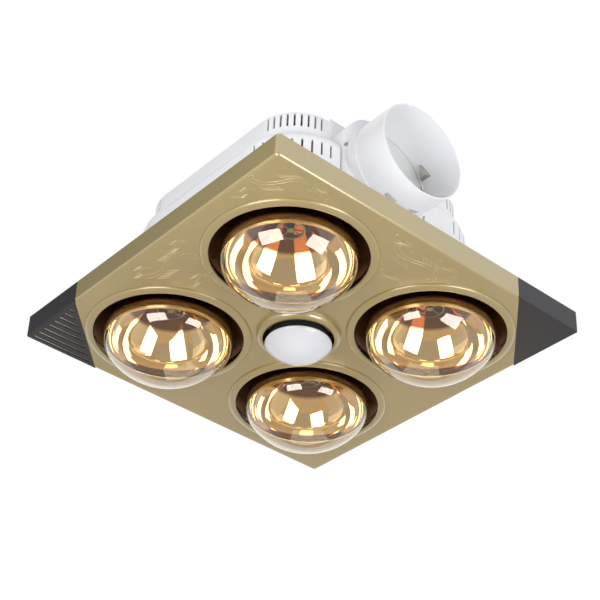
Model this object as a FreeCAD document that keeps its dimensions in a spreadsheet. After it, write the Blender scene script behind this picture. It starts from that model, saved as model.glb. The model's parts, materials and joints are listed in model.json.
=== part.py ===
"""Bathroom heat lamp: a square ceiling unit with four reflector lamps, a centre light and an exhaust fan.

Millimetres, +Z up. The origin is the middle of the unit on the ceiling's underside. The panel hangs
below it, the housing stands above it in the ceiling space, and the exhaust duct leaves along +X.
"""
import FreeCAD
import Part
import math
import os
import Sketcher

# Driving sizes

SIZES = {
    # panel below the ceiling
    "panel_margin": 18, "panel_depth": 23, "panel_wall": 2, "corner_round": 4.5, "edge_round": 3.5,
    "lamp_gap": 10, "lamp_ring_width": 8, "lamp_ring_drop": 3, "ring_flat": 2.5, "ring_spacing": 17,
    "bezel_seat": 2, "bezel_edge": 0.6, "bezel_sheet": 1.6, "bezel_collar": 1, "bezel_play": 0.1,
    "light_opening": 69, "light_ring_width": 6.5, "light_ring_drop": 6.5,
    # corner pieces
    "corner_leg": 82, "cap_round": 1.5, "cap_edge": 1, "seam_gap": 0.3, "tab_width": 16, "tab_reach": 8,
    "tab_spread": 80, "louvre_inset": 5, "louvre_margin": 6, "louvre_shortest": 5, "louvre_width": 2,
    # reflector lamps
    "lamp_radius": 62.5, "lamp_dome": 43, "lamp_rim_drop": 5, "lamp_knuckle": 26, "lamp_cone_angle": 36,
    "neck_radius": 19.5, "neck_length": 29, "glass_wall": 1.2,
    "screw_cap_radius": 13.3, "screw_cap_skirt": 14.2, "screw_cap_length": 26, "contact_radius": 4.5,
    "stem_radius": 3.5, "filament_rise": 34, "filament_ring": 13, "filament_wire": 0.7,
    # lamp holders, their brackets and the heat shields
    "holder_radius": 24, "holder_body": 20, "neck_clearance": 1.1, "cap_clearance": 0.6, "holder_crown": 10,
    "holder_skirt": 14, "bracket_half_length": 14, "bracket_half_width": 9, "bracket_wall": 1.5,
    "shroud_clearance": 2, "shroud_wall": 0.8, "shroud_lift": 4, "waist_height": 26,
    # centre light
    "diffuser_radius": 32.3, "diffuser_wall": 1.8, "diffuser_rim_drop": 12.5, "diffuser_dome": 16,
    "cup_wall": 1.6, "cup_clearance": 0.3, "cup_depth": 13, "cup_foot": 5, "board_thickness": 1.6,
    # housing in the ceiling space
    "flange_inset": 6.5, "flange_thickness": 2, "screw_inset": 6.5, "screw_hole": 2.5,
    "tray_inset": 19.5, "tray_corner": 70, "tray_top": 26, "foot_margin": 2.8,
    "wall": 2.5, "housing_room": 49, "housing_shelf": 18, "middle_corner": 63, "far_corner": 80,
    "upper_corner": 45, "middle_top": 93, "roof_top": 127, "shelf_round": 15, "roof_round": 2.4,
    "seat_step": 1, "slot_width": 2, "slot_height": 15.5, "upper_slot_base": 109, "lower_slot_base": 63,
    "slot_pitch": 8.5,
    # exhaust fan
    "fan_shift": 19, "holder_gap": 3, "scroll_step": 6, "scroll_wall": 2, "scroll_base": 62,
    "outlet_side": 28, "inlet_radius": 40, "lip_clearance": 1, "tongue_angle": 20,
    "wheel_radius": 50, "blade_depth": 9.5, "blade_sheet": 1.2, "wheel_base": 66, "wheel_top": 104,
    "hub_radius": 8, "hub_height": 14, "nut_height": 4, "nut_radius": 6,
    "shaft_radius": 3, "running_clearance": 0.05, "motor_radius": 36, "motor_height": 32,
    "motor_boss": 12, "boss_clearance": 1, "motor_plate_half": 40, "motor_plate_wall": 1.5,
    "motor_screw_inset": 7, "shaft_reach": 22,
    # duct collar and its backdraft flap
    "duct_radius": 49.5, "duct_wall": 1.3, "spigot_length": 44, "duct_side": -20.5, "outlet_box_reach": 26,
    "outlet_box_round": 18, "outlet_crown": 37, "notch_clearance": 0.3, "outlet_box_side": 4.5,
    "stop_ring_width": 7, "stop_ring_step": 1.2, "latch_width": 12, "latch_length": 6, "latch_spread": 28,
    "flap_clearance": 0.7, "flap_sheet": 1.6, "flap_place": 20, "flap_pivot": 10, "flap_trim": 1.5,
    "rib_depth": 6, "rib_sheet": 2,
    "pin_radius": 2, "barrel_radius": 4, "barrel_inset": 4,
    # wiring
    "terminal_left": 70, "terminal_length": 70, "terminal_base": 36, "terminal_height": 44,
    "terminal_depth": 28, "terminal_wall": 2.5, "block_inset": 14, "block_depth": 14,
    "gland_radius": 9, "gland_length": 18, "gland_bore": 4.5, "gland_stub": 6, "stub_clearance": 0.2,
    "capacitor_length": 42, "capacitor_width": 20, "capacitor_height": 28, "capacitor_corner": 60,
    "cutout_radius": 9, "cutout_height": 8, "cutout_inset": 25,
    # clips and screws
    "clip_width": 16, "clip_sheet": 0.8, "clip_height": 11, "clip_place": 60, "clip_play": 0.2,
    "screw_radius": 1.6, "head_radius": 3.2, "head_height": 2.2, "head_clearance": 0.4, "screw_play": 0.15,
    "foot_screw_place": 50,
}
LAMP_SIGNS = ((1, -1), (1, 1), (-1, 1), (-1, -1))
LOUVRES = 8
SLOTS_IN_ROW = 9
SLOT_ROW_TURN = 1.4
BLADES = 30

doc = FreeCAD.newDocument("bathroom_heat_lamp")
sheet = doc.addObject("Spreadsheet::Sheet", "sizes")
nodes = {}


class Size:
    """A length: its number now, and the sheet formula that it is worked out by."""

    def __init__(self, number, text):
        self.number = number
        self.text = text

    def __float__(self):
        return self.number

    def __neg__(self):
        return Size(-self.number, "(-%s)" % self.text)

    def __add__(self, other):
        return Size(self.number + float(other), "(%s + %s)" % (self.text, formula(other)))

    def __sub__(self, other):
        return Size(self.number - float(other), "(%s - %s)" % (self.text, formula(other)))

    def __mul__(self, other):
        return Size(self.number * float(other), "(%s * %s)" % (self.text, formula(other)))

    def __truediv__(self, other):
        return Size(self.number / float(other), "(%s / %s)" % (self.text, formula(other)))


def formula(size):
    return size.text if isinstance(size, Size) else repr(float(size))


def lean_angle(run, rise):
    """The angle of a wall that moves by a run over a rise."""
    slant = run / rise
    return Size(math.degrees(math.atan(slant.number)), "atan(%s)" % slant.text)


def fill_sheet():
    for row, (name, number) in enumerate(SIZES.items(), 1):
        sheet.set("A%d" % row, name)
        sheet.set("B%d" % row, str(number))
        sheet.setAlias("B%d" % row, name)
    doc.recompute()


def size(name):
    return Size(float(sheet.get(name)), "sizes." + name)


# Building blocks

def bind(thing, prop, length):
    thing.setExpression(prop, formula(length))


def place(thing, x=0, y=0, z=0):
    for axis, length in (("x", x), ("y", y), ("z", z)):
        bind(thing, "Placement.Base." + axis, length)


def node(name, thing):
    thing.Label = name
    nodes[name] = thing
    return thing


def box(name, x, y, z, turn=0):
    """A block between pairs of limits. Turned blocks start at the low corner."""
    block = doc.addObject("Part::Box", name)
    block.Placement.Rotation = FreeCAD.Rotation(FreeCAD.Vector(0, 0, 1), turn)
    for prop, (low, high) in (("Length", x), ("Width", y), ("Height", z)):
        bind(block, prop, high - low)
    place(block, x[0], y[0], z[0])
    return block


def rod(name, radius, low, high, side, along="Z"):
    """A round bar from low to high along an axis, at a pair of places on the other two axes."""
    bar = doc.addObject("Part::Cylinder", name)
    bind(bar, "Radius", radius)
    bind(bar, "Height", high - low)
    if along == "X":
        bar.Placement.Rotation = FreeCAD.Rotation(FreeCAD.Vector(0, 1, 0), 90)
        place(bar, low, side[0], side[1])
    elif along == "Y":
        bar.Placement.Rotation = FreeCAD.Rotation(FreeCAD.Vector(1, 0, 0), -90)
        place(bar, side[0], low, side[1])
    else:
        place(bar, side[0], side[1], low)
    return bar


def fuse(name, *pieces):
    joined = doc.addObject("Part::MultiFuse", name)
    joined.Shapes = list(pieces)
    return joined


def cut(name, base, *tools):
    result = doc.addObject("Part::Cut", name)
    result.Base = base
    result.Tool = tools[0] if len(tools) == 1 else fuse(name + "_tools", *tools)
    return result


def common(name, base, tool):
    result = doc.addObject("Part::Common", name)
    result.Base = base
    result.Tool = tool
    return result


def shaped(name, shape):
    """A form that no primitive gives, with its sizes read from the sheet."""
    feature = doc.addObject("Part::Feature", name)
    feature.Shape = shape
    return feature


def outline(body, plane, points):
    """A closed outline of straight runs in a body's own plane, each corner tied to the sheet."""
    sketch = body.newObject("Sketcher::SketchObject", body.Name + "_outline")
    planes = [feature for feature in body.Origin.OriginFeatures if feature.Role == plane]
    sketch.AttachmentSupport = [(planes[0], "")]
    sketch.MapMode = "FlatFace"
    spots = [FreeCAD.Vector(float(across), float(up), 0) for across, up in points]
    lines = [Part.LineSegment(spots[index - 1], spots[index]) for index in range(len(spots))]
    sketch.addGeometry(lines)
    rules = []
    formulas = {}
    for index, point in enumerate(points):
        rules.append(Sketcher.Constraint("Coincident", index, 2, (index + 1) % len(points), 1))
        for kind, length, axis in (("DistanceX", point[0], -2), ("DistanceY", point[1], -1)):
            if float(length) == 0:
                rules.append(Sketcher.Constraint("PointOnObject", index, 2, axis))
            else:
                formulas[len(rules)] = formula(length)
                rules.append(Sketcher.Constraint(kind, -1, 1, index, 2, float(length)))
    sketch.addConstraint(rules)
    for number, text in formulas.items():
        sketch.setExpression("Constraints[%d]" % number, text)
    return sketch


def turned(name, points, x=0, y=0):
    """A turned piece about an upright axis, from its half section of radius and height pairs."""
    body = doc.addObject("PartDesign::Body", name)
    sketch = outline(body, "XZ_Plane", points)
    spin = body.newObject("PartDesign::Revolution", name + "_turn")
    spin.Profile = sketch
    spin.ReferenceAxis = (sketch, ["V_Axis"])
    place(body, x, y)
    return body


def prism(name, points, low, high, plane="XY_Plane"):
    """An upright prism on an outline, or with another plane one that runs along -Y."""
    body = doc.addObject("PartDesign::Body", name)
    sketch = outline(body, plane, points)
    pad = body.newObject("PartDesign::Pad", name + "_pad")
    pad.Profile = sketch
    bind(pad, "Length", high - low)
    if plane == "XY_Plane":
        place(body, z=low)
    else:
        place(body, y=high)
    return body


def round_edges(body, radius, wanted):
    """Rounds the edges of a body that a test picks."""
    doc.recompute()
    base = body.Tip
    limits = base.Shape.BoundBox
    names = ["Edge%d" % (index + 1) for index, edge in enumerate(base.Shape.Edges) if wanted(edge, limits)]
    fillet = body.newObject("PartDesign::Fillet", body.Name + "_round")
    fillet.Base = (base, names)
    bind(fillet, "Radius", radius)
    doc.recompute()


def bevel_edges(body, length, wanted):
    """Bevels the edges of a body that a test picks."""
    doc.recompute()
    base = body.Tip
    limits = base.Shape.BoundBox
    names = ["Edge%d" % (index + 1) for index, edge in enumerate(base.Shape.Edges) if wanted(edge, limits)]
    chamfer = body.newObject("PartDesign::Chamfer", body.Name + "_bevel")
    chamfer.Base = (base, names)
    bind(chamfer, "Size", length)
    doc.recompute()


def lean_walls(body, angle):
    """Leans the walls of an upright body inwards from its base."""
    doc.recompute()
    base = body.Tip
    limits = base.Shape.BoundBox
    faces = ["Face%d" % (index + 1) for index in range(len(base.Shape.Faces))]
    walls = [name for name in faces if base.getSubObject(name).BoundBox.ZLength > limits.ZLength / 2]
    near_floor = limits.ZMin + limits.ZLength / 100
    floors = [name for name in faces if base.getSubObject(name).BoundBox.ZMax < near_floor]
    draft = body.newObject("PartDesign::Draft", body.Name + "_lean")
    draft.Base = (base, walls)
    draft.NeutralPlane = (base, floors[:1])
    bind(draft, "Angle", angle)
    doc.recompute()


def upright(edge, limits):
    return edge.BoundBox.ZLength > limits.ZLength / 2


def at_top(edge, limits):
    return edge.BoundBox.ZMin > limits.ZMax - limits.ZLength / 100


def at_base(edge, limits):
    return edge.BoundBox.ZMax < limits.ZMin + limits.ZLength / 100


def beside_duct(edge):
    spot = edge.BoundBox.Center
    return spot.x > 0 > spot.y


def tier(name, half, corner, low, high, taper=None, far=None, base_round=None, top_round=None,
         top_bevel=None):
    """A square block with round corners, as one tier of the housing or the panel.

    All corners but the one beside the duct can have their own radius.
    """
    square = [(-half, -half), (half, -half), (half, half), (-half, half)]
    body = prism(name, square, low, high)
    if far is None:
        round_edges(body, corner, upright)
    else:
        round_edges(body, corner, lambda edge, limits: upright(edge, limits) and beside_duct(edge))
        round_edges(body, far, lambda edge, limits: upright(edge, limits) and not beside_duct(edge))
    if taper is not None:
        lean_walls(body, taper)
    if base_round is not None:
        round_edges(body, base_round, at_base)
    if top_round is not None:
        round_edges(body, top_round, at_top)
    if top_bevel is not None:
        bevel_edges(body, top_bevel, at_top)
    return body


zero = Size(0.0, "0")
fill_sheet()

# Sizes that follow from the driving ones

lamp_radius = size("lamp_radius")
opening_radius = lamp_radius + size("lamp_gap")
ring_radius = opening_radius + size("lamp_ring_width")
bezel_hole = ring_radius - size("bezel_seat")
lamp_place = ring_radius + size("ring_spacing") / 2
half_panel = lamp_place + ring_radius + size("panel_margin")
wall = size("wall")
panel_wall = size("panel_wall")
face = -size("panel_depth")
face_inside = face + panel_wall
light_radius = size("light_opening") / 2
light_ring_radius = light_radius + size("light_ring_width")
corner_leg = size("corner_leg")

lamp_rim = face - size("lamp_rim_drop")
knuckle = size("lamp_knuckle")
neck_radius = size("neck_radius")
slope = math.radians(float(size("lamp_cone_angle")))
cone_side = lamp_radius - knuckle + knuckle * math.cos(slope)
neck_base = lamp_rim + knuckle * math.sin(slope) + (cone_side - neck_radius) * (1 / math.tan(slope))
neck_top = neck_base + size("neck_length")
cap_top = neck_top + size("screw_cap_length")
holder_low = neck_top - size("holder_skirt")
holder_top = cap_top + size("holder_crown")
neck_bore = neck_radius + size("neck_clearance")

roof_top = size("roof_top")
roof_inside = roof_top - wall
tray_top = size("tray_top")
tray_low = face_inside + size("shroud_lift")
flange_half = half_panel - size("flange_inset")
tray_half = half_panel - size("tray_inset")
middle_half = lamp_place + size("housing_room")
upper_half = middle_half - size("housing_shelf")
foot_width = (size("head_radius") + size("head_clearance")) * 2
tray_lean = lean_angle(tray_half - middle_half - foot_width - size("foot_margin"), tray_top - tray_low)
middle_inside = middle_half - wall
upper_inside = upper_half - wall

fan_shift = size("fan_shift")
scroll_wall = size("scroll_wall")
scroll_base = size("scroll_base")
scroll_top = roof_inside - scroll_wall
step = size("scroll_step")
outlet_low = size("holder_radius") + scroll_wall + size("holder_gap") - lamp_place
scroll_radius = fan_shift - step / 2 - outlet_low
shaft_radius = size("shaft_radius")
shaft_bore = shaft_radius + size("running_clearance")
wheel_top = size("wheel_top")
hub_low = wheel_top - size("hub_height")
plate_top = roof_top + size("motor_plate_wall")
motor_top = plate_top + size("motor_height")

duct_radius = size("duct_radius")
duct_bore = duct_radius - size("duct_wall")
duct_side = size("duct_side")
duct_height = roof_top - duct_radius
collar_base = upper_half
box_end = collar_base + size("outlet_box_reach")
duct_mouth = box_end + size("spigot_length")
box_half = duct_radius + size("outlet_box_side")
flap_plane = collar_base + size("flap_place")
flap_axis = duct_height + size("flap_pivot")


def corner_block(name, sign, leg):
    """The corner of the panel's square beyond a diagonal seam, as an upright prism."""
    far = (half_panel + panel_wall) * sign
    near = (half_panel - leg - panel_wall) * sign
    points = [(far, far), (near, far), (far, near)]
    return prism(name, points, face - panel_wall * 4, panel_wall * 4)


def opening_ring(name, hole, ring, drop, x=0, y=0):
    """The pressed ring that stands proud round an opening."""
    low = face - drop
    flat = hole + size("ring_flat")
    points = [(ring, face_inside), (ring, face), (flat, low), (hole, low), (hole, low + panel_wall),
              (flat - panel_wall / 4, low + panel_wall), (ring - panel_wall / 2, face_inside)]
    return turned(name, points, x, y)


def lamp_bezel(name, x, y):
    """The trim ring round a lamp: a sloped front with a flat lip, and a collar in the panel's hole."""
    low = face - size("lamp_ring_drop")
    flat = opening_radius + size("ring_flat")
    sheet = size("bezel_sheet")
    collar = bezel_hole - size("bezel_play")
    back = face_inside + size("bezel_collar")
    points = [(ring_radius, face), (ring_radius, face - size("bezel_edge")), (flat, low),
              (opening_radius, low), (opening_radius, low + sheet), (flat - sheet / 3, low + sheet),
              (collar - sheet, face), (collar - sheet, back), (collar, back), (collar, face)]
    return turned(name, points, x, y)


def corner_tabs(name, sign, turn):
    """Two flat tabs behind the seam, which hook a corner piece on the panel."""
    diagonal = math.sqrt(0.5)
    seam = half_panel - corner_leg / 2
    reach = size("tab_reach")
    tabs = []
    for index, spread in enumerate((-0.5, 0.5)):
        along = size("tab_spread") * spread - size("tab_width") / 2
        x = (seam + reach * diagonal + along * diagonal) * sign
        y = (seam + reach * diagonal - along * diagonal) * sign
        tabs.append(box("%s_%d" % (name, index), (x, x + reach * 2), (y, y + size("tab_width")),
                        (face_inside, face_inside + panel_wall), turn))
    return tabs


def louvre_cuts():
    """Slots along Y through the left corner piece, shorter towards its inner end."""
    inset = size("louvre_inset")
    margin = size("louvre_margin")
    room = corner_leg - inset * 2 - margin - size("louvre_shortest")
    slots = []
    for index in range(LOUVRES):
        x = inset - half_panel + room * (index / (LOUVRES - 1))
        stop = corner_leg - half_panel * 2 - x - margin
        slots.append(box("louvre_%d" % index, (x, x + size("louvre_width")), (inset - half_panel, stop),
                         (face - panel_wall, face_inside + panel_wall)))
    return slots


def make_panel():
    outer = tier("panel_outer", half_panel, size("corner_round"), face, zero,
                 base_round=size("edge_round"))
    inner = tier("panel_inner", half_panel - panel_wall, size("corner_round") - panel_wall, face_inside,
                 panel_wall)
    shell = cut("panel_shell", outer, inner)
    holes = [rod("light_hole", light_ring_radius, face - panel_wall, face_inside + panel_wall, (0, 0))]
    light_ring = opening_ring("light_ring", light_radius, light_ring_radius, size("light_ring_drop"))
    for index, (sign_x, sign_y) in enumerate(LAMP_SIGNS, 1):
        spot = (lamp_place * sign_x, lamp_place * sign_y)
        holes.append(rod("lamp_hole_%d" % index, bezel_hole, face - panel_wall, face_inside + panel_wall,
                         spot))
        node("lamp_bezel_%d" % index, lamp_bezel("bezel_%d" % index, *spot))
    pierced = fuse("panel_with_ring", cut("panel_pierced", shell, *holes), light_ring)
    seams = [corner_block("seam_%d" % sign, sign, corner_leg + size("seam_gap")) for sign in (-1, 1)]
    node("fascia_panel", cut("panel_trimmed", pierced, *seams))

    cap_round = size("cap_round")
    cap_outer = tier("cap_outer", half_panel, cap_round, face, zero, base_round=size("cap_edge"))
    cap_inner = tier("cap_inner", half_panel - panel_wall, cap_round, face_inside, panel_wall)
    caps = cut("cap_shell", cap_outer, cap_inner)
    left = common("corner_left", caps, corner_block("corner_left_block", -1, corner_leg))
    right = common("corner_right", caps, corner_block("corner_right_block", 1, corner_leg))
    left_whole = fuse("corner_left_tabbed", left, *corner_tabs("left_tab", -1, 45))
    node("corner_grille_left", cut("corner_left_slotted", left_whole, *louvre_cuts()))
    node("corner_cover_right", fuse("corner_right_tabbed", right, *corner_tabs("right_tab", 1, 225)))


def around(centre, radius, turn):
    """A point of the bulb's section at an angle round a bend's centre."""
    return centre + FreeCAD.Vector(math.cos(turn), 0, math.sin(turn)) * radius


def bend_arc(centre, radius, start, stop):
    return Part.Arc(*[around(centre, radius, turn) for turn in (start, (start + stop) / 2, stop)])


def glass_path(inset):
    """The bulb's half section at a depth inside the glass: domed face, round rim, cone and tapered neck."""
    rim = float(lamp_rim)
    dome = float(size("lamp_dome"))
    bend = float(knuckle)
    bend_axis = float(lamp_radius) - bend
    sag = dome - bend
    crown_height = (bend_axis ** 2 - sag ** 2) / (2 * sag)
    meeting = -math.atan2(crown_height, bend_axis)
    crown_centre = FreeCAD.Vector(0, 0, rim + crown_height)
    bend_centre = FreeCAD.Vector(bend_axis, 0, rim)
    cone_end = FreeCAD.Vector(float(neck_radius) - inset / math.cos(slope), 0, float(neck_base))
    neck_end = FreeCAD.Vector(float(size("screw_cap_skirt")) - inset, 0, float(neck_top))
    curves = [bend_arc(crown_centre, crown_height + dome - inset, -math.pi / 2, meeting),
              bend_arc(bend_centre, bend - inset, meeting, slope),
              Part.LineSegment(around(bend_centre, bend - inset, slope), cone_end),
              Part.LineSegment(cone_end, neck_end)]
    pole = FreeCAD.Vector(0, 0, rim - dome + inset)
    return curves, pole, neck_end


def make_lamp(index, x, y):
    glass_wall = float(size("glass_wall"))
    outer, outer_pole, outer_end = glass_path(0.0)
    inner, inner_pole, inner_end = glass_path(glass_wall)
    closing = [Part.LineSegment(outer_end, inner_end), Part.LineSegment(inner_pole, outer_pole)]
    edges = [curve.toShape() for curve in outer + inner + closing]
    section = Part.Face(Part.Wire(Part.__sortEdges__(edges)))
    glass = shaped("lamp_glass_%d" % index, section.revolve(FreeCAD.Vector(), FreeCAD.Vector(0, 0, 1), 360))
    place(glass, x, y)
    node("lamp_glass_%d" % index, glass)

    length = size("screw_cap_length")
    skirt = size("screw_cap_skirt")
    thread = size("screw_cap_radius")
    contact = size("contact_radius")
    points = [(zero, neck_top), (skirt, neck_top), (skirt, neck_top + length * 0.12),
              (thread, neck_top + length * 0.16), (thread, neck_top + length * 0.8),
              (contact * 1.33, cap_top - length * 0.06), (contact, cap_top), (zero, cap_top)]
    node("lamp_cap_%d" % index, turned("screw_cap_%d" % index, points, x, y))

    stem = size("stem_radius")
    ring = size("filament_ring")
    wire = size("filament_wire")
    level = lamp_rim + size("filament_rise")
    post = rod("stem_%d" % index, stem, level - wire, neck_top, (x, y))
    coil = turned("coil_%d" % index, [(ring - wire, level - wire), (ring + wire, level - wire),
                                      (ring + wire, level + wire), (ring - wire, level + wire)], x, y)
    thin = wire * 0.6
    flat = (level - thin, level + thin)
    arms = [box("arm_x_%d" % index, (x - ring, x + ring), (y - thin, y + thin), flat),
            box("arm_y_%d" % index, (x - thin, x + thin), (y - ring, y + ring), flat)]
    node("lamp_filament_%d" % index, fuse("filament_%d" % index, post, coil, *arms))


def make_holder(index, x, y):
    outside = size("holder_radius")
    body = size("holder_body")
    socket = size("screw_cap_skirt") + size("cap_clearance")
    points = [(neck_bore, holder_low), (outside, holder_low), (outside, neck_top),
              (body, neck_top + outside - body), (body, holder_top), (zero, holder_top), (zero, cap_top),
              (socket, cap_top), (socket, neck_top), (neck_bore, neck_top - size("neck_clearance"))]
    node("lamp_holder_%d" % index, turned("holder_%d" % index, points, x, y))

    half = size("bracket_half_length")
    side = size("bracket_half_width")
    sheet_wall = size("bracket_wall")
    loop = box("bracket_outer_%d" % index, (x - half, x + half), (y - side, y + side),
               (holder_top, roof_inside))
    gap = box("bracket_inner_%d" % index, (x - half + sheet_wall, x + half - sheet_wall),
              (y - side - sheet_wall, y + side + sheet_wall),
              (holder_top + sheet_wall, roof_inside - sheet_wall))
    node("holder_bracket_%d" % index, cut("bracket_%d" % index, loop, gap))

    sheet_metal = size("shroud_wall")
    mouth = opening_radius + size("shroud_clearance")
    waist_height = size("waist_height")
    waist = neck_radius + (neck_base - waist_height) * math.tan(slope) + size("shroud_clearance")
    crown = outside + size("shroud_clearance")
    points = [(mouth, tray_low), (mouth + sheet_metal, tray_low), (waist + sheet_metal, waist_height),
              (crown + sheet_metal, holder_low), (neck_bore, holder_low),
              (neck_bore, holder_low - sheet_metal), (crown, holder_low - sheet_metal), (waist, waist_height)]
    node("lamp_shroud_%d" % index, turned("shroud_%d" % index, points, x, y))


def make_light():
    radius = size("diffuser_radius")
    skin = size("diffuser_wall")
    rim = face - size("diffuser_rim_drop")
    dome = size("diffuser_dome")
    cup_top = face_inside + size("cup_depth")
    board_low = cup_top - size("board_thickness")
    crown = (radius * radius + dome * dome) / (dome * 2)
    hollow = radius - skin
    depth = dome - skin
    crown_inside = (hollow * hollow + depth * depth) / (depth * 2)
    bowls = []
    for name, ball_radius, low in (("outer", crown, rim - dome), ("inner", crown_inside, rim - depth)):
        ball = doc.addObject("Part::Sphere", "diffuser_" + name)
        bind(ball, "Radius", ball_radius)
        place(ball, z=low + ball_radius)
        bowls.append(ball)
    below = rod("diffuser_below", radius * 2, rim - dome * 2, rim, (0, 0))
    cap = common("diffuser_cap", bowls[0], below)
    collar = rod("diffuser_collar", radius, rim, board_low, (0, 0))
    solid = fuse("diffuser_solid", cap, collar)
    empty = fuse("diffuser_empty", common("diffuser_hollow", bowls[1], below),
                 rod("diffuser_core", hollow, rim, board_low, (0, 0)))
    node("light_diffuser", cut("diffuser", solid, empty))
    node("light_board", rod("board", radius, board_low, cup_top, (0, 0)))

    inside = radius + size("cup_clearance")
    cup_wall = size("cup_wall")
    outside = inside + cup_wall
    foot = light_ring_radius + size("cup_foot")
    points = [(inside, face_inside), (foot, face_inside), (foot, face_inside + cup_wall),
              (outside, face_inside + cup_wall), (outside, cup_top + cup_wall), (zero, cup_top + cup_wall),
              (zero, cup_top), (inside, cup_top)]
    node("light_cup", turned("cup", points))


def slot_cuts():
    """Two rows of upright vent slots round each corner of the housing."""
    width = float(size("slot_width"))
    height = float(size("slot_height"))
    rows = ((upper_half, size("upper_corner"), size("upper_corner"), size("upper_slot_base")),
            (middle_half, size("middle_corner"), size("far_corner"), size("lower_slot_base")))
    slots = []
    for half, near, far, base in rows:
        for quarter, (sign_x, sign_y) in enumerate(LAMP_SIGNS):
            corner = near if sign_x > 0 > sign_y else far
            centre = float(half) - float(corner)
            for index in range(SLOTS_IN_ROW):
                turn = index - (SLOTS_IN_ROW - 1) / 2
                angle = quarter * 90 - 45 + SLOT_ROW_TURN + turn * float(size("slot_pitch"))
                slot = Part.makeBox(float(wall) * 4, width, height,
                                    FreeCAD.Vector(float(corner) - float(wall) * 2, -width / 2, float(base)))
                slot.rotate(FreeCAD.Vector(), FreeCAD.Vector(0, 0, 1), angle)
                slot.translate(FreeCAD.Vector(centre * sign_x, centre * sign_y, 0))
                slots.append(slot)
    return shaped("vent_slots", Part.makeCompound(slots))


def foot_screw_spots():
    """Places of the screws that hold the housing to the tray: none under the duct."""
    out = middle_half + foot_width / 2
    along = size("foot_screw_place")
    return [(along, out), (-along, out), (along, -out), (-along, -out), (-out, along), (-out, -along)]


def motor_screw_spots():
    reach = size("motor_plate_half") - size("motor_screw_inset")
    return [(reach * sign_x, fan_shift + reach * sign_y) for sign_x, sign_y in LAMP_SIGNS]


def screw_holes(name, spots, low, high):
    radius = size("screw_radius") + size("screw_play")
    return [rod("%s_%d" % (name, index), radius, low, high, spot) for index, spot in enumerate(spots)]


def screws(name, spots, seat, depth):
    """Hex-head screws that stand on a seat and reach down into what they hold."""
    pieces = []
    for index, spot in enumerate(spots):
        head = doc.addObject("Part::Prism", "%s_head_%d" % (name, index))
        bind(head, "Circumradius", size("head_radius"))
        bind(head, "Height", size("head_height"))
        place(head, spot[0], spot[1], seat)
        shank = rod("%s_shank_%d" % (name, index), size("screw_radius"), seat - depth, seat, spot)
        pieces.append(fuse("%s_%d" % (name, index), head, shank))
    group = doc.addObject("Part::Compound", name)
    group.Links = pieces
    return node(name, group)


def make_tray():
    outer = tier("tray_outer", tray_half, size("tray_corner"), tray_low, tray_top, tray_lean)
    inner = tier("tray_inner", tray_half - wall, size("tray_corner") - wall, tray_low, tray_top - wall,
                 tray_lean)
    flange_low = -size("flange_thickness")
    flange = tier("tray_flange", flange_half, size("corner_round"), flange_low, zero)
    seat_step = size("seat_step")
    hatch = tier("tray_hatch", middle_half + seat_step, size("middle_corner") + seat_step,
                 tray_top - wall * 2, tray_top + wall, far=size("far_corner") + seat_step)
    half_spacing = flange_half - size("screw_inset")
    corners = [(half_spacing * sign_x, half_spacing * sign_y) for sign_x, sign_y in LAMP_SIGNS]
    holes = [rod("ceiling_hole_%d" % index, size("screw_hole"), flange_low - wall, wall, spot)
             for index, spot in enumerate(corners)]
    drilled = screw_holes("tray_hole", foot_screw_spots(), tray_top - wall * 2, tray_top + wall)
    whole = fuse("tray_whole", outer, flange)
    node("housing_tray", cut("tray", whole, inner, hatch, *holes, *drilled))


def make_housing():
    foot_top = tray_top + wall
    shelf_round = size("shelf_round")
    far = size("far_corner")
    middle = tier("middle_outer", middle_half, size("middle_corner"), tray_top, size("middle_top"), far=far,
                  top_round=shelf_round)
    upper = tier("upper_outer", upper_half, size("upper_corner"), tray_top, roof_top,
                 top_round=size("roof_round"))
    foot = tier("foot_outer", middle_half + foot_width, size("middle_corner"), tray_top, foot_top, far=far)
    middle_hollow = tier("middle_inner", middle_inside, size("middle_corner") - wall, tray_top - wall,
                         size("middle_top") - wall, far=far - wall, top_bevel=shelf_round - wall)
    upper_hollow = tier("upper_inner", upper_inside, size("upper_corner") - wall, tray_top - wall,
                        roof_inside)
    play = size("notch_clearance")
    notch = box("duct_notch", (collar_base, box_end + wall * 4),
                (duct_side - box_half - play, duct_side + box_half + play),
                (tray_top - wall, roof_top + wall))
    window = box("outlet_window", (upper_inside - wall, collar_base + wall),
                 (outlet_low - scroll_wall - play, size("outlet_side") + scroll_wall + play),
                 (scroll_base - scroll_wall - play, roof_inside + play))
    bore = rod("motor_hole", size("motor_boss") + size("boss_clearance"), roof_inside - wall, roof_top + wall,
               (0, fan_shift))
    drilled = screw_holes("foot_hole", foot_screw_spots(), tray_top - wall, foot_top + wall)
    drilled += screw_holes("roof_hole", motor_screw_spots(), roof_inside - wall, roof_top + wall)
    stub = rod("cable_hole", size("gland_stub"), middle_half - wall * 2, middle_half + wall,
               (-size("terminal_left") + size("terminal_length") / 2,
                size("terminal_base") + size("terminal_height") / 2), "Y")
    body = fuse("housing_body", middle, upper, foot)
    node("housing_box", cut("housing", body, middle_hollow, upper_hollow, slot_cuts(), notch, window, bore,
                            stub, *drilled))
    screws("foot_screws", foot_screw_spots(), foot_top, wall * 2)


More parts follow.
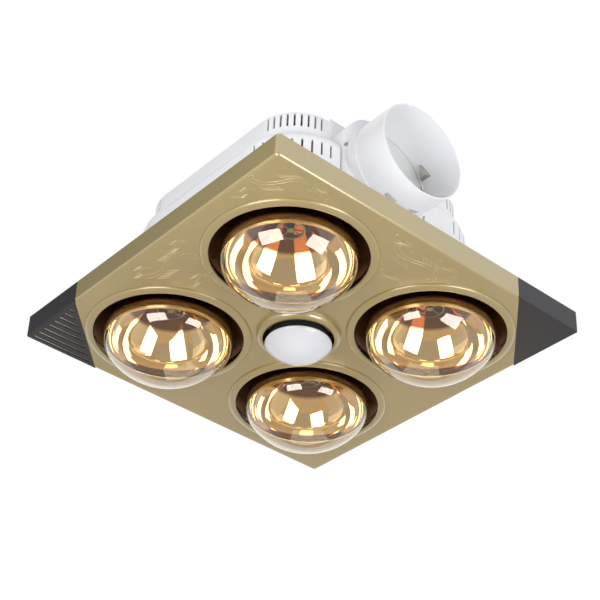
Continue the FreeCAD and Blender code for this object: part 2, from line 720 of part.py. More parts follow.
def scroll_face(reach):
    """The fan chamber's plan: four arcs that open a step each quarter turn, a tongue and the outlet."""
    offset = float(step) / 2
    radius = float(scroll_radius)
    gain = float(step)
    tongue = math.radians(float(size("tongue_angle")))
    centre = FreeCAD.Vector(offset, float(fan_shift) - offset, 0)
    moves = ((0, 0), (-gain, 0), (0, gain), (gain, 0))
    sweeps = (math.pi / 2, math.pi / 2, math.pi / 2, tongue)
    angle = 1.5 * math.pi
    edges = []
    for quarter, (move, sweep) in enumerate(zip(moves, sweeps)):
        centre = centre + FreeCAD.Vector(move[0], move[1], 0)
        spots = [centre + FreeCAD.Vector(math.cos(turn), math.sin(turn), 0) * (radius - quarter * gain)
                 for turn in (angle, angle - sweep / 2, angle - sweep)]
        edges.append(Part.Arc(*spots).toShape())
        angle -= sweep
        if quarter == 0:
            first = spots[0]
    low_corner = FreeCAD.Vector(reach, first.y, 0)
    side_corner = FreeCAD.Vector(reach, float(size("outlet_side")), 0)
    edges.append(Part.LineSegment(spots[2], side_corner).toShape())
    edges.append(Part.LineSegment(side_corner, low_corner).toShape())
    edges.append(Part.LineSegment(low_corner, first).toShape())
    return Part.Face(Part.Wire(edges))


def make_scroll():
    sheet_wall = float(scroll_wall)
    end = float(collar_base)
    chamber = scroll_face(end + 4 * sheet_wall)
    shell_face = chamber.makeOffset2D(sheet_wall)
    base = float(scroll_base)
    ceiling = float(scroll_top)
    up = FreeCAD.Vector(0, 0, 1)
    shell = shell_face.extrude(up * (float(roof_inside) - base))
    hollow = chamber.extrude(up * (ceiling - base))
    side = float(half_panel)
    beyond = Part.makeBox(side, 2 * side, 2 * side, FreeCAD.Vector(end, -side, -side))
    spot = FreeCAD.Vector(0, float(fan_shift), 0)
    boss_hole = Part.makeCylinder(float(size("motor_boss") + size("boss_clearance")), side, spot)
    scroll = shell.cut(hollow).cut(beyond).cut(boss_hole)
    for x, y in motor_screw_spots():
        hole = float(size("screw_radius") + size("screw_play"))
        scroll = scroll.cut(Part.makeCylinder(hole, side, FreeCAD.Vector(float(x), float(y), 0)))
    scroll.translate(up * base)
    node("fan_scroll", shaped("scroll", scroll))

    plate = shell_face.extrude(up * sheet_wall).cut(beyond)
    plate = plate.cut(Part.makeCylinder(float(size("inlet_radius")), 4 * sheet_wall, spot - up * sheet_wall))
    plate.translate(up * (base - sheet_wall))
    inlet = float(size("inlet_radius"))
    lip_height = float(size("wheel_base") - size("lip_clearance")) - base + sheet_wall
    low = spot + up * (base - sheet_wall)
    lip = Part.makeCylinder(inlet + sheet_wall, lip_height, low)
    lip = lip.cut(Part.makeCylinder(inlet, lip_height, low))
    node("scroll_cover", shaped("cover", plate.fuse(lip).removeSplitter()))


def make_wheel():
    """Forward-curved blades between a hub plate and a rim ring."""
    outer = float(size("wheel_radius"))
    inner = outer - float(size("blade_depth"))
    blade_wall = float(size("blade_sheet"))
    base = float(size("wheel_base"))
    top = float(wheel_top)
    up = FreeCAD.Vector(0, 0, 1)
    spot = FreeCAD.Vector(0, float(fan_shift), 0)

    def on_ring(radius, turn):
        return FreeCAD.Vector(math.cos(turn) * radius, math.sin(turn) * radius, 0)

    lead = float(size("blade_depth")) / outer
    thick = blade_wall / outer
    spots = ((inner, 0.0), ((inner + outer) / 2, lead * 0.2), (outer - blade_wall / 2, lead))
    front = [on_ring(radius, turn) for radius, turn in spots]
    back = [on_ring(radius, turn + thick) for radius, turn in spots]
    edges = [Part.Arc(*front), Part.LineSegment(front[2], back[2]), Part.Arc(*back[::-1]),
             Part.LineSegment(back[0], front[0])]
    blade = Part.Face(Part.Wire([edge.toShape() for edge in edges])).extrude(up * (top - base - blade_wall))
    blade.translate(up * (base + blade_wall / 2))
    blades = []
    for index in range(BLADES):
        copy = blade.copy()
        copy.rotate(FreeCAD.Vector(), up, 360 / BLADES * index)
        blades.append(copy)
    plate = Part.makeCylinder(outer, 2 * blade_wall, up * (top - 2 * blade_wall))
    rim = Part.makeCylinder(outer, 2 * blade_wall, up * base)
    rim = rim.cut(Part.makeCylinder(inner + 3 * blade_wall, 2 * blade_wall, up * base))
    hub = Part.makeCylinder(float(size("hub_radius")), float(size("hub_height")), up * float(hub_low))
    wheel = plate.multiFuse([rim, hub] + blades)
    wheel = wheel.cut(Part.makeCylinder(float(shaft_bore), 2 * top, up * -top))
    wheel.translate(spot)
    node("fan_wheel", shaped("wheel", wheel))


def make_motor():
    middle = (0, fan_shift)
    nut_low = hub_low - size("nut_height")
    shaft_top = plate_top + size("shaft_reach")
    node("motor_shaft", rod("shaft", shaft_radius, nut_low, shaft_top, middle))
    nut = cut("nut_bored", rod("nut", size("nut_radius"), nut_low, hub_low, middle),
              rod("nut_bore", shaft_bore, nut_low - wall, hub_low + wall, middle))
    node("wheel_nut", nut)

    can = size("motor_radius")
    boss = size("motor_boss")
    boss_low = wheel_top + size("boss_clearance") * 6
    points = [(zero, motor_top), (can * 0.7, motor_top), (can, motor_top - can * 0.2), (can, plate_top),
              (boss, plate_top), (boss, boss_low), (shaft_bore, boss_low), (shaft_bore, shaft_top + wall),
              (zero, shaft_top + wall)]
    node("fan_motor", turned("motor", points, *middle))

    half = size("motor_plate_half")
    square = box("motor_plate_blank", (-half, half), (fan_shift - half, fan_shift + half),
                 (roof_top, plate_top))
    bore = rod("plate_bore", boss + size("boss_clearance"), roof_top - wall, plate_top + wall, middle)
    drilled = screw_holes("plate_hole", motor_screw_spots(), roof_top - wall, plate_top + wall)
    node("motor_plate", cut("plate", square, bore, *drilled))
    screws("motor_screws", motor_screw_spots(), plate_top, wall + size("motor_plate_wall"))


def outlet_arch(low):
    """The outlet box's section along X: upright sides under a broad round crown."""
    crown = size("outlet_crown")
    flat = box_half - crown
    spring = roof_top - crown
    along = (collar_base, box_end)
    pieces = [box("arch_sides", along, (duct_side - box_half, duct_side + box_half), (low, spring)),
              box("arch_top", along, (duct_side - flat, duct_side + flat), (low, roof_top))]
    for name, side in (("arch_near", duct_side - flat), ("arch_far", duct_side + flat)):
        pieces.append(rod(name, crown, collar_base, box_end, (side, spring), "X"))
    return fuse("outlet_arch", *pieces)


def make_collar():
    """The round spigot on its arched outlet box, with a stop ring, two latch windows and the pin's holes."""
    spot = (duct_side, duct_height)
    box_low = tray_top + size("notch_clearance")
    outer = prism("outlet_box_outer",
                  [(collar_base, duct_side - box_half), (box_end, duct_side - box_half),
                   (box_end, duct_side + box_half), (collar_base, duct_side + box_half)], box_low, roof_top)
    round_edges(outer, size("outlet_box_round"),
                lambda edge, limits: upright(edge, limits) and edge.BoundBox.XMin > limits.XMax - 1)
    plate = box("outlet_plate", (collar_base, collar_base + wall),
                (duct_side - box_half, duct_side + box_half), (box_low, roof_top))
    shell = fuse("outlet_shell", common("outlet_body", outer, outlet_arch(box_low)), plate)
    tube = rod("duct_tube", duct_radius, box_end - wall, duct_mouth, spot, "X")
    stop_end = box_end + size("stop_ring_width")
    stop = rod("stop_ring", duct_radius + size("stop_ring_step"), box_end - wall, stop_end, spot, "X")
    bore = rod("duct_bore", duct_bore, collar_base - wall, duct_mouth + wall, spot, "X")
    latch_start = stop_end + size("latch_length")
    half_latch = size("latch_width") / 2
    latches = []
    for index, side in enumerate((-0.5, 0.5)):
        middle = duct_side + size("latch_spread") * side
        latches.append(box("latch_%d" % index, (latch_start, latch_start + size("latch_length")),
                           (middle - half_latch, middle + half_latch),
                           (duct_height - duct_radius - wall, duct_height - duct_radius / 2)))
    reach = duct_radius + wall / 2
    pin_room = size("pin_radius") + size("running_clearance")
    hole = rod("pin_hole", pin_room, duct_side - reach, duct_side + reach, (flap_plane, flap_axis), "Y")
    node("duct_collar", cut("collar", fuse("collar_whole", shell, tube, stop), bore, hole, *latches))

    pin_half = duct_radius + wall / 4
    node("damper_pin", rod("pin", size("pin_radius"), duct_side - pin_half, duct_side + pin_half,
                           (flap_plane, flap_axis), "Y"))
    radius = duct_bore - size("flap_clearance")
    thick = size("flap_sheet") / 2
    disc = rod("flap_disc", radius, flap_plane - thick, flap_plane + thick, spot, "X")
    half = radius - size("flap_trim")
    slab = box("flap_slab", (flap_plane - thick * 2, flap_plane + thick * 2),
               (duct_side - half, duct_side + half), (duct_height - radius, duct_height + radius))
    barrel_half = radius - size("barrel_inset")
    barrel = rod("flap_barrel", size("barrel_radius"), duct_side - barrel_half, duct_side + barrel_half,
                 (flap_plane, flap_axis), "Y")
    eye = rod("flap_eye", pin_room, duct_side - radius, duct_side + radius, (flap_plane, flap_axis), "Y")
    rib_half = size("rib_sheet") / 2
    rib = prism("flap_rib", [(flap_plane, flap_axis), (flap_plane, duct_height - radius * 0.8),
                             (flap_plane + size("rib_depth"), duct_height - radius * 0.4),
                             (flap_plane + size("rib_depth"), flap_axis)],
                duct_side - rib_half, duct_side + rib_half, "XZ_Plane")
    blade = fuse("flap_whole", common("flap_round", disc, slab), barrel, rib)
    node("damper_flap", cut("flap", blade, eye))


def make_wiring():
    left = -size("terminal_left")
    right = left + size("terminal_length")
    back = middle_half
    front = back + size("terminal_depth")
    low = size("terminal_base")
    high = low + size("terminal_height")
    skin = size("terminal_wall")
    middle = (low + high) / 2
    centre = (left + right) / 2
    gland_depth = back + size("terminal_depth") / 2
    case = box("terminal_outer", (left, right), (back, front), (low, high))
    hollow = box("terminal_inner", (left + skin, right - skin), (back + skin, front + skin),
                 (low + skin, high - skin))
    stub_hole = size("gland_stub") + size("stub_clearance")
    entry = rod("terminal_entry", stub_hole, left - skin, left + skin * 2, (gland_depth, middle), "X")
    passage = rod("terminal_passage", size("gland_stub"), back - skin, back + skin * 2, (centre, middle), "Y")
    node("terminal_box", cut("terminal_case", case, hollow, entry, passage))
    node("terminal_cover", box("terminal_lid", (left, right), (front, front + skin), (low, high)))
    inset = size("block_inset")
    block_base = back + skin
    block_low = low + skin
    node("terminal_block", box("terminal_strip", (left + inset, right - inset),
                               (block_base, block_base + size("block_depth")),
                               (block_low, block_low + skin * 4)))
    length = size("gland_length")
    nut = rod("gland_nut", size("gland_radius"), left - length, left, (gland_depth, middle), "X")
    stub = rod("gland_neck", size("gland_stub"), left, left + skin * 2, (gland_depth, middle), "X")
    bore = rod("gland_hole", size("gland_bore"), left - length * 2, left + length, (gland_depth, middle), "X")
    node("cable_gland", cut("gland", fuse("gland_whole", nut, stub), bore))

    corner = size("capacitor_corner")
    block = prism("capacitor", [(-corner, -corner), (size("capacitor_length") - corner, -corner),
                                (size("capacitor_length") - corner, size("capacitor_width") - corner),
                                (-corner, size("capacitor_width") - corner)],
                  roof_top, roof_top + size("capacitor_height"))
    round_edges(block, size("capacitor_width") / 5, upright)
    node("run_capacitor", block)

    radius = size("cutout_radius")
    drop = roof_inside - size("cutout_height")
    points = [(zero, drop), (radius * 0.7, drop), (radius * 0.7, drop + size("cutout_height") * 0.6),
              (radius, drop + size("cutout_height") * 0.6), (radius, roof_inside), (zero, roof_inside)]
    node("thermal_cutout", turned("cutout", points, 0, size("cutout_inset") - upper_half))


def make_clips():
    """Bent spring strips between the tray's wall and the panel's rim."""
    lean = math.tan(math.radians(float(tray_lean)))
    strip = size("clip_sheet")
    low = tray_low + strip
    high = -size("flange_thickness")
    toe = tray_half + size("clip_play")
    foot = toe - strip * lean
    knee = half_panel - panel_wall
    bend = low + size("clip_height") / 2
    points = [(foot, low), (knee - strip, bend), (foot + strip * 5, high), (foot + strip * 6.5, high),
              (knee, bend),
              (toe, tray_low)]
    clips = []
    for quarter in range(4):
        for side, sign in enumerate((-1, 1)):
            middle = size("clip_place") * sign
            half = size("clip_width") / 2
            clip = prism("clip_%d_%d" % (quarter, side), points, middle - half, middle + half, "XZ_Plane")
            turn = doc.addObject("Part::Compound", "clip_turn_%d_%d" % (quarter, side))
            turn.Links = [clip]
            turn.Placement.Rotation = FreeCAD.Rotation(FreeCAD.Vector(0, 0, 1), 90 * quarter)
            clips.append(turn)
    group = doc.addObject("Part::Compound", "clips")
    group.Links = clips
    node("fascia_clips", group)


def make_all():
    make_panel()
    for index, (sign_x, sign_y) in enumerate(LAMP_SIGNS, 1):
        make_lamp(index, lamp_place * sign_x, lamp_place * sign_y)
        make_holder(index, lamp_place * sign_x, lamp_place * sign_y)
    make_light()
    make_tray()
    make_housing()
    make_scroll()
    make_wheel()
    make_motor()
    make_collar()
    make_wiring()
    make_clips()
    doc.recompute()


def write_parts():
    failed = [thing.Label for thing in doc.Objects if "Invalid" in thing.State or "Error" in thing.State]
    for name, thing in nodes.items():
        if thing.Shape.isNull() or not thing.Shape.isValid() or not thing.Shape.Solids:
            failed.append(name)
    if failed:
        raise RuntimeError("these pieces failed: " + ", ".join(failed))
    os.makedirs("parts", exist_ok=True)
    for name, thing in nodes.items():
        thing.Shape.exportStep("parts/%s.step" % name)
        print("%-22s %d solids, %.1f mm3" % (name, len(thing.Shape.Solids), thing.Shape.Volume))


make_all()
write_parts()
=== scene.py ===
"""Bathroom heat lamp: gold ceiling panel, reflector bulbs, centre light and the housing above it."""
import json
import math
import bpy
from mathutils import Matrix, Vector

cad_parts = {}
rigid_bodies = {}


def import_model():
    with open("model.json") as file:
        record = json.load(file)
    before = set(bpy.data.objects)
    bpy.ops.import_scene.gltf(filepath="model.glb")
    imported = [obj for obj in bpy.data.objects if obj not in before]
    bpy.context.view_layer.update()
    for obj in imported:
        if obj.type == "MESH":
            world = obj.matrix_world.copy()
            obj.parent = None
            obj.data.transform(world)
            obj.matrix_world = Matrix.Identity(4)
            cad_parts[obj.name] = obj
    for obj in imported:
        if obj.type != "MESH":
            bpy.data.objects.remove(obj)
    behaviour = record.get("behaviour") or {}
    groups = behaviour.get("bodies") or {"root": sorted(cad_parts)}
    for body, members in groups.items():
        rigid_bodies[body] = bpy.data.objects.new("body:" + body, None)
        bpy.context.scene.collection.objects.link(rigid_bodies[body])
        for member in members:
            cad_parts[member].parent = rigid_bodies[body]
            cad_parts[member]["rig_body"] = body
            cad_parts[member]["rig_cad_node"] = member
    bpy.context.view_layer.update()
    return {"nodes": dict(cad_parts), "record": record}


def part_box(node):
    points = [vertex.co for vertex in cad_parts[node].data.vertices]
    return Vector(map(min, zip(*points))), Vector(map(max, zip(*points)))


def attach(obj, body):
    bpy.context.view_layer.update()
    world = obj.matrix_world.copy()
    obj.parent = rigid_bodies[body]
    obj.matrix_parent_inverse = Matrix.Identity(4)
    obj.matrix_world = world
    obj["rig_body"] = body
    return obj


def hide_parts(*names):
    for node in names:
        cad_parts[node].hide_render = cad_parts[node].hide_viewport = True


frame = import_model()
nodes = frame["nodes"]

# Sizes in metres, in the CAD's frame

MM = 0.001
PANEL_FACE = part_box("corner_cover_right")[0][2]
HALF_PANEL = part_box("corner_cover_right")[1][0]
PANEL_WALL = 2 * MM
LAMP_PLACE = 89 * MM
LAMP_SPOTS = ((LAMP_PLACE, -LAMP_PLACE), (LAMP_PLACE, LAMP_PLACE), (-LAMP_PLACE, LAMP_PLACE),
              (-LAMP_PLACE, -LAMP_PLACE))
LAMP_RADIUS = 62.5 * MM
LAMP_RIM = PANEL_FACE - 5 * MM
LAMP_DOME = 43 * MM
LAMP_KNUCKLE = 26 * MM
BOWL_LEAVE = -6 * MM
BOWL_REACH = (36 * MM, 18 * MM)
BOWL_TOP = 39.6 * MM
NECK_RADIUS = 19.5 * MM
NECK_TOP = 68.6 * MM
NECK_END = 14.2 * MM
GLASS_WALL = 1.2 * MM
COAT_REACH = 6 * MM
LACQUER_GAP = 0.05 * MM
LACQUER_WALL = 0.1 * MM
COAT_GAP = 0.2 * MM
COAT_WALL = 0.3 * MM
LAMP_SEGMENTS = 96
BOWL_STEPS = 32
CROWN_STEPS = 18
KNUCKLE_STEPS = 14
COAT_STEPS = 6

OPENING_RADIUS = LAMP_RADIUS + 10 * MM
RING_RADIUS = OPENING_RADIUS + 8 * MM
RING_DROP = 3 * MM
RING_STEP = 0.5 * MM
RING_LIP = 2 * MM
COLLAR_RADIUS = RING_RADIUS - 2.1 * MM
COLLAR_WALL = 1.6 * MM
COLLAR_RISE = 1 * MM
LIGHT_OPENING = 34.5 * MM
LIGHT_RING = 41 * MM
LIGHT_DROP = 6.5 * MM
LIGHT_STEP = 0.3 * MM
LIGHT_LIP = 2.5 * MM
LIGHT_FOOT = 1.2 * MM
LIGHT_BACK = (1 * MM, 1.5 * MM)
DIFFUSER_RADIUS = 32.3 * MM
DIFFUSER_RIM = PANEL_FACE - 12.5 * MM
DIFFUSER_DOME = 16 * MM
DIFFUSER_WALL = 1.8 * MM
DIFFUSER_BEAD = 0.8 * MM
DOME_STEPS = 24
BEAD_STEPS = 5
SLEEVE_RADIUS = 29.2 * MM
SLEEVE_WALL = 1.7 * MM
SLEEVE_EDGE = 0.4 * MM
SLEEVE_GAP = 0.5 * MM
LIP_ROUND = 1.4 * MM
LIP_STEPS = 8
FRONT_STEPS = 14
BEZEL_SKIN = 0.2 * MM

STROKE_WIDTH = 0.9 * MM
SPRIG_FLAT = 0.4
LEAVES = 6
LEAF_START = -22
LEAF_PITCH = 3.4

CORNER_LEG = 82 * MM
LOUVRES = 8
LOUVRE_INSET = 5 * MM
LOUVRE_MARGIN = 6 * MM
LOUVRE_ROOM = CORNER_LEG - 2 * LOUVRE_INSET - LOUVRE_MARGIN - 5 * MM
LOUVRE_WIDTH = 2 * MM
LOUVRE_LIP_WIDTH = 0.9 * MM
LOUVRE_LIP_HEIGHT = 0.5 * MM
LOUVRE_LIP_TAPER = 0.15
LOUVRE_LIP_ROUND = 0.15 * MM

DUCT_AXIS = (-20.5 * MM, 77.5 * MM)
DUCT_BORE = 48.2 * MM
LUG_ANGLE = math.radians(27)
LUG_PLACE = 149.5 * MM
LUG_RADIUS = 10 * MM
LUG_STRETCH = (0.75, 1.15, 1.0, 1.0)
LUG_HEIGHT = 4.5 * MM
LUG_TAPER = 0.7
LUG_SINK = 0.6 * MM
LUG_ROUND = 0.5 * MM

CAMERA_PLACE = (0.9682, -0.8088, -0.8793)
CAMERA_YAW = 0.875
CAMERA_PITCH = 0.618
CAMERA_ROLL = 0.043
CAMERA_LENS = 95.4
SENSOR_WIDTH = 36
SKY_FOR_SOFT_LIGHT = 0.66
SKY_SEEN = 1.0
FLOOR_HEIGHT = -1.3
FLOOR_SIZE = 6

CAD_WELD = 0.01 * MM
CAD_SMOOTH = math.radians(32)
OWN_WELD = 0.005 * MM
OWN_SMOOTH = math.radians(40)

MIX_FACTOR, MIX_FIRST, MIX_SECOND = 0, 6, 7


# Tools

def linear(hex_text):
    """A colour written as sRGB hex, in the linear values that shaders take."""
    channels = [int(hex_text[index:index + 2], 16) / 255 for index in (1, 3, 5)]
    return [part / 12.92 if part <= 0.04045 else ((part + 0.055) / 1.055) ** 2.4 for part in channels] + [1.0]


def repeat(size_mm):
    """The texture scale of a pattern whose grains are so many millimetres wide."""
    return 1 / (size_mm * MM)


def add(material, kind, inputs=None, **settings):
    """Adds a node with its settings. An input takes a value, a node or one of a node's outputs."""
    tree = material.node_tree
    node = tree.nodes.new(kind)
    for name, value in settings.items():
        setattr(node, name, value)
    for name, value in (inputs or {}).items():
        if isinstance(value, bpy.types.Node):
            value = next(socket for socket in value.outputs if socket.enabled)
        if isinstance(value, bpy.types.NodeSocket):
            tree.links.new(value, node.inputs[name])
        else:
            node.inputs[name].default_value = value
    return node


def blank_material(name):
    material = bpy.data.materials.new(name)
    material.use_nodes = True
    material.node_tree.nodes.clear()
    return material


def deselect():
    if bpy.context.object and bpy.context.object.mode != "OBJECT":
        bpy.ops.object.mode_set(mode="OBJECT")
    bpy.ops.object.select_all(action="DESELECT")


def pick(piece):
    deselect()
    piece.select_set(True)
    bpy.context.view_layer.objects.active = piece


def wear(piece, material):
    piece.data.materials.clear()
    piece.data.materials.append(material)


def settle(piece, material, body="unit"):
    """Gives a piece its material and its place on a body."""
    wear(piece, material)
    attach(piece, body)
    return piece


def smooth_copy(node_name, material, body):
    """A CAD node's form with its triangles joined and its curves shaded smooth."""
    piece = nodes[node_name].copy()
    piece.data = nodes[node_name].data.copy()
    piece.name = node_name + "_finish"
    piece.parent = None
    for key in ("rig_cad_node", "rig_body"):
        if key in piece:
            del piece[key]
    bpy.context.scene.collection.objects.link(piece)
    pick(piece)
    bpy.ops.object.mode_set(mode="EDIT")
    bpy.ops.mesh.select_all(action="SELECT")
    bpy.ops.mesh.remove_doubles(threshold=CAD_WELD)
    bpy.ops.object.mode_set(mode="OBJECT")
    bpy.ops.mesh.customdata_custom_splitnormals_clear()
    bpy.ops.object.shade_smooth_by_angle(angle=CAD_SMOOTH)
    settle(piece, material, body)
    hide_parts(node_name)


def put_copy(piece, name, place, turn=0.0, stretch=(1, 1, 1)):
    """A copy with its own mesh, which is stretched, turned about Z and moved within that mesh."""
    copy = piece.copy()
    copy.data = piece.data.copy()
    copy.name = name
    bpy.context.scene.collection.objects.link(copy)
    copy.scale = stretch
    copy.rotation_euler = (0, 0, turn)
    copy.location = place
    pick(copy)
    bpy.ops.object.transform_apply(location=True, rotation=True, scale=True)
    return copy


def join_pieces(pieces, name):
    pick(pieces[0])
    for piece in pieces:
        piece.select_set(True)
    bpy.ops.object.join()
    pieces[0].name = name
    return pieces[0]


def turned_piece(name, outline, segments=LAMP_SEGMENTS):
    """A turned piece on the Z axis: an outline of radius and height pairs, extruded and spun once round."""
    deselect()
    bpy.ops.mesh.primitive_plane_add(size=1 * MM, location=(0, 0, 0))
    piece = bpy.context.object
    piece.name = name
    bpy.ops.object.mode_set(mode="EDIT")
    bpy.ops.mesh.merge(type="CENTER")
    radius, height = outline[0]
    bpy.ops.transform.translate(value=(radius, 0, height))
    for before, after in zip(outline, outline[1:]):
        step = (after[0] - before[0], 0, after[1] - before[1])
        bpy.ops.mesh.extrude_region_move(TRANSFORM_OT_translate={"value": step})
    bpy.ops.mesh.select_all(action="SELECT")
    bpy.ops.mesh.spin(steps=segments, angle=2 * math.pi, center=(0, 0, 0), axis=(0, 0, 1))
    bpy.ops.mesh.select_all(action="SELECT")
    bpy.ops.mesh.remove_doubles(threshold=OWN_WELD)
    bpy.ops.mesh.normals_make_consistent(inside=False)
    bpy.ops.object.mode_set(mode="OBJECT")
    bpy.ops.object.shade_smooth_by_angle(angle=OWN_SMOOTH)
    return piece


def arc(centre, radius, start, stop, count):
    """Points round a bend, as radius and height pairs."""
    turns = [start + (stop - start) * index / count for index in range(count + 1)]
    return [(centre[0] + radius * math.cos(turn), centre[1] + radius * math.sin(turn)) for turn in turns]


# Painted and plated metals

def make_gold_enamel():
    """Champagne gold stoving enamel on pressed steel: a soft metal sheen with faint clouds in it.

    The flake is drawn several times coarser than the real one of 0.2 mm, so that it shows.
    """
    material = blank_material("gold_enamel")
    place = add(material, "ShaderNodeTexCoord").outputs["Object"]
    cloud = add(material, "ShaderNodeTexNoise", {"Vector": place, "Scale": repeat(70), "Detail": 2.0})
    flake = add(material, "ShaderNodeTexNoise", {"Vector": place, "Scale": repeat(1.2), "Detail": 4.0})
    colour = add(material, "ShaderNodeMix", {MIX_FACTOR: cloud, MIX_FIRST: linear("#a09061"),
                                             MIX_SECOND: linear("#ae9e6c")}, data_type="RGBA")
    gloss = add(material, "ShaderNodeMapRange", {"Value": flake, "To Min": 0.32, "To Max": 0.46})
    relief = add(material, "ShaderNodeBump", {"Height": flake, "Distance": 0.01 * MM})
    shader = add(material, "ShaderNodeBsdfPrincipled", {
        "Base Color": colour, "Metallic": 0.4, "Roughness": gloss, "Normal": relief, "Coat Weight": 1.0,
        "Coat IOR": 1.9, "Coat Roughness": 0.16})
    add(material, "ShaderNodeOutputMaterial", {"Surface": shader})
    return material


def make_bright_gold():
    """Bright-cut lines in the gold enamel: paler and shinier than the paint round them."""
    material = blank_material("bright_cut_gold")
    place = add(material, "ShaderNodeTexCoord").outputs["Object"]
    worn = add(material, "ShaderNodeTexNoise", {"Vector": place, "Scale": repeat(14), "Detail": 3.0})
    colour = add(material, "ShaderNodeMix", {MIX_FACTOR: worn, MIX_FIRST: linear("#b5a272"),
                                             MIX_SECOND: linear("#f0e4ba")}, data_type="RGBA")
    gloss = add(material, "ShaderNodeMapRange", {"Value": worn, "To Min": 0.4, "To Max": 0.22})
    shader = add(material, "ShaderNodeBsdfPrincipled", {"Base Color": colour, "Metallic": 0.7,
                                                        "Roughness": gloss})
    add(material, "ShaderNodeOutputMaterial", {"Surface": shader})
    return material


def make_shield_shade_steel():
    """Dark brown sheet steel of the shields, blotched, still shiny enough to catch the lights: its dark brown
    is painted shade of the gap round each bulb, with painted warm light from the bulbs.
    """
    material = blank_material("shield_shade_steel")
    place = add(material, "ShaderNodeTexCoord").outputs["Object"]
    stain = add(material, "ShaderNodeTexNoise", {"Vector": place, "Scale": repeat(9), "Detail": 4.0})
    # Dark browns: painted shade of the gap round each bulb, warmed as painted light from the bulbs.
    colour = add(material, "ShaderNodeMix", {MIX_FACTOR: stain, MIX_FIRST: linear("#5c3820"),
                                             MIX_SECOND: linear("#7d5232")}, data_type="RGBA")
    gloss = add(material, "ShaderNodeMapRange", {"Value": stain, "To Min": 0.2, "To Max": 0.4})
    shader = add(material, "ShaderNodeBsdfPrincipled", {"Base Color": colour, "Metallic": 0.6,
                                                        "Roughness": gloss})
    add(material, "ShaderNodeOutputMaterial", {"Surface": shader})
    return material


def make_zinc_plate():
    """Zinc-plated steel: cool grey with the faint spangle and yellow cast of the plating."""
    material = blank_material("zinc_plated_steel")
    place = add(material, "ShaderNodeTexCoord").outputs["Object"]
    spangle = add(material, "ShaderNodeTexVoronoi", {"Vector": place, "Scale": repeat(4)})
    cast = add(material, "ShaderNodeTexNoise", {"Vector": place, "Scale": repeat(12), "Detail": 2.0})
    colour = add(material, "ShaderNodeMix", {MIX_FACTOR: cast, MIX_FIRST: linear("#b4b8bb"),
                                             MIX_SECOND: linear("#c6c2b0")}, data_type="RGBA")
    gloss = add(material, "ShaderNodeMapRange", {"Value": spangle.outputs["Distance"], "To Min": 0.26,
                                                 "To Max": 0.46})
    shader = add(material, "ShaderNodeBsdfPrincipled", {"Base Color": colour, "Metallic": 1.0,
                                                        "Roughness": gloss})
    add(material, "ShaderNodeOutputMaterial", {"Surface": shader})
    return material


def make_spring_steel():
    """Rolled spring steel of the clips: grey, with fine lines along the strip."""
    material = blank_material("spring_steel")
    place = add(material, "ShaderNodeTexCoord").outputs["Object"]
    along = add(material, "ShaderNodeMapping", {"Vector": place, "Scale": (1.0, 1.0, 0.06)})
    line = add(material, "ShaderNodeTexNoise", {"Vector": along, "Scale": repeat(0.8), "Detail": 3.0})
    colour = add(material, "ShaderNodeMix", {MIX_FACTOR: line, MIX_FIRST: linear("#8d8f92"),
                                             MIX_SECOND: linear("#a9abad")}, data_type="RGBA")
    gloss = add(material, "ShaderNodeMapRange", {"Value": line, "To Min": 0.25, "To Max": 0.45})
    shader = add(material, "ShaderNodeBsdfPrincipled", {"Base Color": colour, "Metallic": 1.0,
                                                        "Roughness": gloss})
    add(material, "ShaderNodeOutputMaterial", {"Surface": shader})
    return material


def make_hammer_paint():
    """Grey hammer-finish paint of the motor: small shallow dimples under a soft gloss."""
    material = blank_material("hammer_paint")
    place = add(material, "ShaderNodeTexCoord").outputs["Object"]
    dimple = add(material, "ShaderNodeTexVoronoi", {"Vector": place, "Scale": repeat(3)}, feature="SMOOTH_F1")
    colour = add(material, "ShaderNodeMix", {
        MIX_FACTOR: dimple.outputs["Distance"], MIX_FIRST: linear("#6f7377"),
        MIX_SECOND: linear("#84888b")}, data_type="RGBA")
    relief = add(material, "ShaderNodeBump", {"Height": dimple.outputs["Distance"], "Distance": 0.15 * MM})
    gloss = add(material, "ShaderNodeMapRange", {"Value": dimple.outputs["Distance"], "To Min": 0.3,
                                                 "To Max": 0.42})
    shader = add(material, "ShaderNodeBsdfPrincipled", {
        "Base Color": colour, "Metallic": 0.35, "Roughness": gloss, "Normal": relief})
    add(material, "ShaderNodeOutputMaterial", {"Surface": shader})
    return material


def make_brass():
    """Rolled brass of the lamp caps: yellow, dulled in patches by heat."""
    material = blank_material("rolled_brass")
    place = add(material, "ShaderNodeTexCoord").outputs["Object"]
    tarnish = add(material, "ShaderNodeTexNoise", {"Vector": place, "Scale": repeat(5), "Detail": 3.0})
    colour = add(material, "ShaderNodeMix", {MIX_FACTOR: tarnish, MIX_FIRST: linear("#c9ae6b"),
                                             MIX_SECOND: linear("#a98648")}, data_type="RGBA")
    gloss = add(material, "ShaderNodeMapRange", {"Value": tarnish, "To Min": 0.22, "To Max": 0.45})
    shader = add(material, "ShaderNodeBsdfPrincipled", {"Base Color": colour, "Metallic": 1.0,
                                                        "Roughness": gloss})
    add(material, "ShaderNodeOutputMaterial", {"Surface": shader})
    return material


def make_tungsten():
    """Drawn tungsten wire and its wire stem: dark grey metal with drawing marks."""
    material = blank_material("drawn_tungsten")
    place = add(material, "ShaderNodeTexCoord").outputs["Object"]
    mark = add(material, "ShaderNodeTexNoise", {"Vector": place, "Scale": repeat(0.7), "Detail": 2.0})
    colour = add(material, "ShaderNodeMix", {MIX_FACTOR: mark, MIX_FIRST: linear("#6b655f"),
                                             MIX_SECOND: linear("#8d8780")}, data_type="RGBA")
    gloss = add(material, "ShaderNodeMapRange", {"Value": mark, "To Min": 0.3, "To Max": 0.5})
    shader = add(material, "ShaderNodeBsdfPrincipled", {"Base Color": colour, "Metallic": 1.0,
                                                        "Roughness": gloss})
    add(material, "ShaderNodeOutputMaterial", {"Surface": shader})
    return material


# Plastics and ceramic

